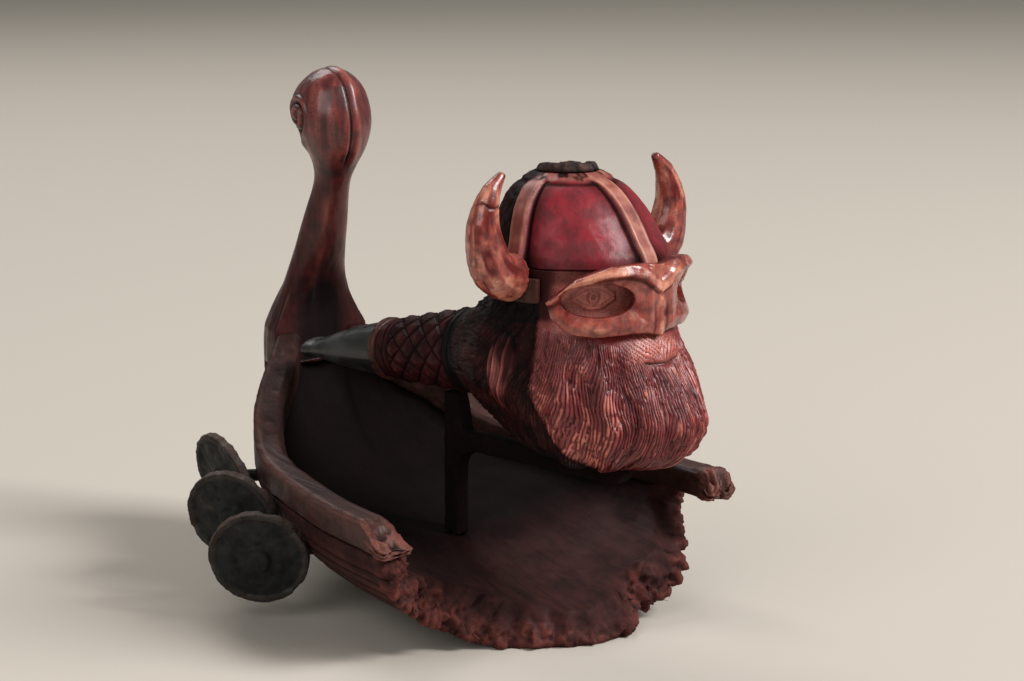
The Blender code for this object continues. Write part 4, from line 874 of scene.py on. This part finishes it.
def makeRail(word, user):
    mesh = refined("rail_" + word, user["voxel"])
    points, normals = pointsOf(mesh), normalsOf(mesh)
    x, y, z = points.T
    fromEnd = y - user["ends"][word]
    end = 1 - smooth(0, user["chewed"], fromEnd + 2.0 * noiseAt(points, 3.0, 121))
    grain = noiseAt(points * (1, 0.08, 1), 1.2, 123, 3)
    lumps = crumbsAt(points, 0.5, 125)
    lift = user["grain"] * grain + end * user["chewDepth"] * lumps
    moved = points + normals * lift[:, None]
    bottom = curveAt(hull["sheer"], y) - hull["railHeight"]
    gnawed = 1 - smooth(0, user["slope"][word], fromEnd + 1.5 * lumps)
    moved[:, 2] -= user["gnawed"] * gnawed * np.clip(moved[:, 2] - bottom, 0, None)
    end = np.maximum(end, gnawed)
    teeth = user["teeth"] * noiseAt(points * (1, 0, 1), 1.6, 127, 2)
    moved[:, 1] += bell(fromEnd, 0, user["teethHalf"]) * teeth
    setPoints(mesh, moved)
    inFrom = curveAt(hull["rail"], y) - np.abs(x)
    upFrom = curveAt(hull["sheer"], y) - z
    rubbed = bell(inFrom, *user["wornIn"]) * bell(upFrom, *user["wornUnder"])
    rubbed *= smooth(-0.5, 0.2, noiseAt(points, 6.0, 129))
    dark = 0.2 * smooth(*user["underShade"], upFrom) + 0.5 * smooth(*user["sternShade"], y)
    return mesh, {"carve": 0.5 + 0.35 * grain + end * 0.7 * lumps, "dark": dark,
                  "wearandhighlight": 0.55 * rubbed + 0.4 * end * smooth(0.0, 0.5, lumps)}


for word in ("starboard", "port"):
    railMesh, railMasks = makeRail(word, rails)
    addPiece("rail" + word.capitalize(), railMesh, madeWood["rail"], "ship_stand",
             ("rail_" + word,), railMasks)

# Stern post ending in a scroll
post = {"voxel": 0.42, "softening": 4, "polishFrom": (66.0, 90.0), "polishRounds": 130, "swell": 0.6,
        "scrollFrom": (98.0, 102.0), "creaseAt": -1.0, "creaseHalf": 0.32, "creaseDepth": 0.45,
        "beadAt": 0.9, "beadHalf": 0.9, "beadHeight": 0.35,
        "voluteY": 79.5, "voluteZ": 112.0, "voluteEdge": (5.0, 6.2), "volutePitch": 2.5, "voluteDepth": 0.9,
        "nub": (-5.2, 79.6, 105.0), "nubHalf": 1.9, "nubHeight": 1.0,
        "notch": (-7.0, 80.8, 108.4), "notchHalf": 1.8, "notchDepth": 0.9,
        "hollowTop": (60.0, 78.0), "hollowHalf": 6.0, "hollowDepth": 1.6, "grain": 0.12,
        "streakAt": -3.2, "streakHalf": 0.9, "streakFrom": (58.0, 66.0), "streakTo": (94.0, 88.0),
        "streakHeight": 0.25, "neckShade": (104.0, 93.0), "footShade": (80.0, 62.0)}


# Smooths a mesh where the weight is high, and swells it there by a set amount along its normals
def polish(mesh, weight, rounds, swell):
    ends = np.empty(len(mesh.edges) * 2, np.int32)
    mesh.edges.foreach_get("vertices", ends)
    first, second = ends.reshape(-1, 2).T
    points = pointsOf(mesh)
    share = np.bincount(ends, minlength=len(points))[:, None]
    for _ in range(rounds):
        near = np.zeros_like(points)
        for k in range(3):
            near[:, k] += np.bincount(first, points[second, k], len(points))
            near[:, k] += np.bincount(second, points[first, k], len(points))
        points = points + 0.5 * weight[:, None] * (near / share - points)
    setPoints(mesh, points)
    setPoints(mesh, points + swell * weight[:, None] * normalsOf(mesh))


def makePost(user):
    mesh = refined("stern_post", user["voxel"], user["softening"])
    polish(mesh, smooth(*user["polishFrom"], pointsOf(mesh)[:, 2]), user["polishRounds"], user["swell"])
    points, normals = pointsOf(mesh), normalsOf(mesh)
    x, y, z = points.T
    scroll = smooth(*user["scrollFrom"], z)
    frontal = smooth(-0.35, 0.25, np.maximum(-normals[:, 1], normals[:, 2]))
    crease = bell(x, user["creaseAt"], user["creaseHalf"]) * scroll * frontal
    bead = bell(x, user["beadAt"], user["beadHalf"]) * scroll * frontal
    away = np.hypot(y - user["voluteY"], z - user["voluteZ"])
    turn = np.arctan2(z - user["voluteZ"], y - user["voluteY"])
    flank = smooth(0.3, 0.7, np.abs(normals[:, 0])) * (1 - smooth(*user["voluteEdge"], away))
    curl, _ = ridges(away - turn / (2 * math.pi) * user["volutePitch"], user["volutePitch"], 1.6)
    sunk = flank * (1 - curl) * smooth(0.4, 1.4, away)
    nub = bell(np.linalg.norm(points - user["nub"], axis=1), 0, user["nubHalf"])
    notch = bell(np.linalg.norm(points - user["notch"], axis=1), 0, user["notchHalf"])
    hollow = (1 - smooth(*user["hollowTop"], z)) * smooth(0.2, 0.8, -normals[:, 1])
    hollow *= bell(x, 0, user["hollowHalf"])
    grain = noiseAt(points * (1, 1, 0.08), 1.6, 131, 3)
    streak = bell(x, user["streakAt"], user["streakHalf"]) * smooth(*user["streakTo"], z)
    streak *= smooth(*user["streakFrom"], z) * smooth(0.0, 0.5, -normals[:, 1])
    lift = user["beadHeight"] * bead - user["creaseDepth"] * crease - user["hollowDepth"] * hollow
    lift += user["grain"] * grain + user["streakHeight"] * streak
    lift += 0.4 * flank * curl - user["voluteDepth"] * sunk
    lift += user["nubHeight"] * nub - user["notchDepth"] * notch
    setPoints(mesh, points + normals * lift[:, None])
    tone = 0.5 + 0.25 * grain - 0.6 * crease + 0.3 * bead + 0.25 * flank * (curl - 0.5) + 0.3 * streak
    # painted shade in the crease, the volute's sunk spiral, the notch and the front hollow, and below the
    # scroll's neck and towards the foot
    dark = 0.6 * crease + 0.95 * sunk + 0.6 * notch + 0.7 * hollow
    dark += 0.4 * smooth(*user["neckShade"], z) + 0.25 * smooth(*user["footShade"], z)
    wearandhighlight = 0.25 * streak + scroll * (0.15 * bead + 0.4 * smooth(-0.2, 0.5, grain))
    return mesh, {"carve": tone, "dark": dark, "wearandhighlight": wearandhighlight}


postMesh, postMasks = makePost(post)
addPiece("sternPost", postMesh, madeWood["post"], "ship_stand", ("stern_post",), postMasks)

# Shields, the foremost ones chewed at the lower edge
shields = {"voxel": 0.34, "rough": 0.22, "rimWidth": 1.6, "chip": 0.5, "foreChips": 0.8, "foreFade": 8.0,
           "firstSeed": 150, "seedStep": 10}


def makeShield(node, user, seed):
    mesh = refined(node, user["voxel"])
    points, normals = pointsOf(mesh), normalsOf(mesh)
    middle = (points.min(axis=0) + points.max(axis=0)) / 2
    reach = np.linalg.norm(points - middle, axis=1)
    inner = reach.max() - user["rimWidth"]
    rim = smooth(inner - 0.6, inner + 0.4, reach)
    axis = np.linalg.svd(points - points.mean(axis=0), full_matrices=False)[2][2]
    side = 1 - smooth(0.3, 0.8, np.abs(normals @ axis))
    rough = noiseAt(points, 2.2, seed, 3)
    chips = smooth(0.15, 0.6, noiseAt(points, 4.5, seed + 7)) * rim
    if "fore" in node:
        chips *= 1 + user["foreChips"] * smooth(middle[2], middle[2] - user["foreFade"], points[:, 2])
    lift = user["rough"] * rough - user["chip"] * chips
    setPoints(mesh, points + normals * lift[:, None])
    return mesh, {"carve": 0.45 + 0.5 * rough, "dark": 0.2 * (1 - rim),
                  "wearandhighlight": rim * (0.25 + 0.6 * side + 0.3 * chips)}


seed = shields["firstSeed"]
for side in ("starboard", "port"):
    for place in ("fore", "mid", "aft"):
        node = f"shield_{side}_{place}"
        shieldMesh, shieldMasks = makeShield(node, shields, seed)
        addPiece("shield" + side.capitalize() + place.capitalize(), shieldMesh, madeWood["shield"],
                 "ship_stand", (node,), shieldMasks)
        seed += shields["seedStep"]

# Cradle under the pipe, kept nearly black as painted shade
rest = {"voxel": 0.5, "rough": 0.2, "lumps": 2.0, "seed": 211, "dark": 0.9}
restMesh, _, restGrain = makeRough("rest_post", rest)
addPiece("restPost", restMesh, madeWood["hull"], "ship_stand", ("rest_post",),
         {"carve": 0.4 + 0.4 * restGrain, "dark": rest["dark"] + 0 * restGrain, "wearandhighlight": 0 * restGrain})

# Pegs and dowels keep their CAD shape
for name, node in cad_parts.items():
    if "dowel" in name or "peg" in name:
        node.data.materials.clear()
        node.data.materials.append(madeWood["peg"])
print("stage: ship made")

# Splinters along the broken bow, spread by Geometry Nodes; sizes in metres, the tree's inputs in capitals
splinters = {"Density": 70000.0, "Length": 0.0030, "Width": 0.00024, "Seed": 5, "Material": madeWood["rail"],
             "tip": 0.00003, "corners": 5, "turnLow": (1.2, -0.3, -0.5), "turnHigh": (2.0, 0.3, 0.5),
             "sizes": (0.35, 1.0), "edgeFrom": 0.8, "facing": -0.35, "above": 0.0025,
             "carve": 0.55, "dark": 0.1, "wearandhighlight": 0.3}


def makeSplinterTree(user):
    tree = bpy.data.node_groups.new("splinters", "GeometryNodeTree")
    inputs = {"Geometry": "Geometry", "Density": "Float", "Length": "Float", "Width": "Float", "Seed": "Int",
              "Material": "Material"}
    for name, kind in inputs.items():
        tree.interface.new_socket(name, in_out="INPUT", socket_type="NodeSocket" + kind)
    tree.interface.new_socket("Geometry", in_out="OUTPUT", socket_type="NodeSocketGeometry")
    given = addNode(tree, "NodeGroupInput").outputs
    spread = addNode(tree, "GeometryNodeDistributePointsOnFaces", {
        "Mesh": given["Geometry"], "Density": given["Density"], "Seed": given["Seed"]})
    cone = addNode(tree, "GeometryNodeMeshCone", {
        "Vertices": user["corners"], "Side Segments": 2, "Radius Top": user["tip"],
        "Radius Bottom": given["Width"], "Depth": given["Length"]})
    jitter = addNode(tree, "FunctionNodeRandomValue", {0: user["turnLow"], 1: user["turnHigh"]},
                     data_type="FLOAT_VECTOR")
    turn = addNode(tree, "FunctionNodeEulerToRotation", {"Euler": jitter.outputs[0]})
    least, most = user["sizes"]
    sizes = addNode(tree, "FunctionNodeRandomValue", {2: least, 3: most}, data_type="FLOAT")
    placed = addNode(tree, "GeometryNodeInstanceOnPoints", {
        "Points": spread.outputs["Points"], "Instance": cone.outputs["Mesh"], "Rotation": turn.outputs[0],
        "Scale": sizes.outputs[1]})
    real = addNode(tree, "GeometryNodeRealizeInstances", {"Geometry": placed.outputs[0]})
    painted = addNode(tree, "GeometryNodeSetMaterial", {
        "Geometry": real.outputs[0], "Material": given["Material"]})
    addNode(tree, "NodeGroupOutput", {0: painted.outputs[0]})
    return tree


# The splinters stand on the lip's front faces, clear of the table
def makeSplinters(user):
    bm = bmesh.new()
    bm.from_mesh(hullMesh)
    layer = bm.verts.layers.float["edge"]
    weak = [f for f in bm.faces if min(v[layer] for v in f.verts) < user["edgeFrom"]
            or f.normal.y > user["facing"] or min(v.co.z for v in f.verts) < user["above"]]
    bmesh.ops.delete(bm, geom=weak, context="FACES")
    mesh = bpy.data.meshes.new("splinterGround")
    bm.to_mesh(mesh)
    bm.free()
    holder = addObject("splinterGround", mesh)
    modifier = holder.modifiers.new("splinters", "NODES")
    modifier.node_group = makeSplinterTree(user)
    for item in modifier.node_group.interface.items_tree:
        if item.in_out == "INPUT" and item.name in user:
            modifier[item.identifier] = user[item.name]
    return settled(holder)


splinterMesh = makeSplinters(splinters)
count = len(splinterMesh.vertices)
addPiece("bowSplinters", splinterMesh, madeWood["rail"], "ship_stand", ("hull",),
         {word: np.full(count, splinters[word]) for word in ("carve", "dark", "wearandhighlight")})
print("stage: splinters made")

# Floor, light and camera in metres; each light has its place, size and power
studio = {"floor": (0.58, 0.52, 0.46), "floorHalf": 6.0, "floorRough": 0.9, "floorShine": 0.1,
          "world": (0.70, 0.72, 0.66), "worldStrength": 0.30, "target": (0, 0, 0.066),
          "lights": (((1.10, -1.40, 1.60), 0.9, 60.0), ((-1.50, -0.70, 1.10), 1.2, 10.4),
                     ((0.2, 1.4, 1.6), 1.0, 12.0)),
          "cameraDistance": 0.55, "azimuth": math.radians(-36), "elevation": math.radians(11), "lens": 84.3,
          "sensor": 36.0, "clipStart": 0.01}


def aimAt(thing, place, target):
    thing.location = place
    away = thing.location - type(thing.location)(target)
    thing.rotation_euler = away.to_track_quat("Z", "Y").to_euler()


def makeStudio(user):
    mesh = bpy.data.meshes.new("floor")
    half = user["floorHalf"]
    corners = [(-half, -half, 0), (half, -half, 0), (half, half, 0), (-half, half, 0)]
    mesh.from_pydata(corners, [], [(0, 1, 2, 3)])
    floor = addObject("floor", mesh)
    paint, tree = newMaterial("paleFloor")
    plug(tree, tree.nodes["Principled BSDF"], {
        "Base Color": (*user["floor"], 1), "Roughness": user["floorRough"],
        "Specular IOR Level": user["floorShine"]})
    mesh.materials.append(paint)
    world = bpy.data.worlds.new("studio")
    world.use_nodes = True
    plug(world.node_tree, world.node_tree.nodes["Background"], {
        "Color": (*user["world"], 1), "Strength": user["worldStrength"]})
    bpy.context.scene.world = world
    for number, (place, size, power) in enumerate(user["lights"]):
        light = bpy.data.lights.new(f"softLight{number}", "AREA")
        light.energy = power
        light.size = size
        aimAt(addObject(f"softLight{number}", light), place, user["target"])
    camera = addObject("camera", bpy.data.cameras.new("camera"))
    azimuth, elevation = user["azimuth"], user["elevation"]
    away = (math.sin(azimuth) * math.cos(elevation), -math.cos(azimuth) * math.cos(elevation),
            math.sin(elevation))
    place = [t + user["cameraDistance"] * a for t, a in zip(user["target"], away)]
    aimAt(camera, place, user["target"])
    camera.data.lens = user["lens"]
    camera.data.sensor_width = user["sensor"]
    camera.data.clip_start = user["clipStart"]
    bpy.context.scene.camera = camera
    bpy.context.scene.view_settings.view_transform = "Standard"


makeStudio(studio)
print("stage: scene ready")
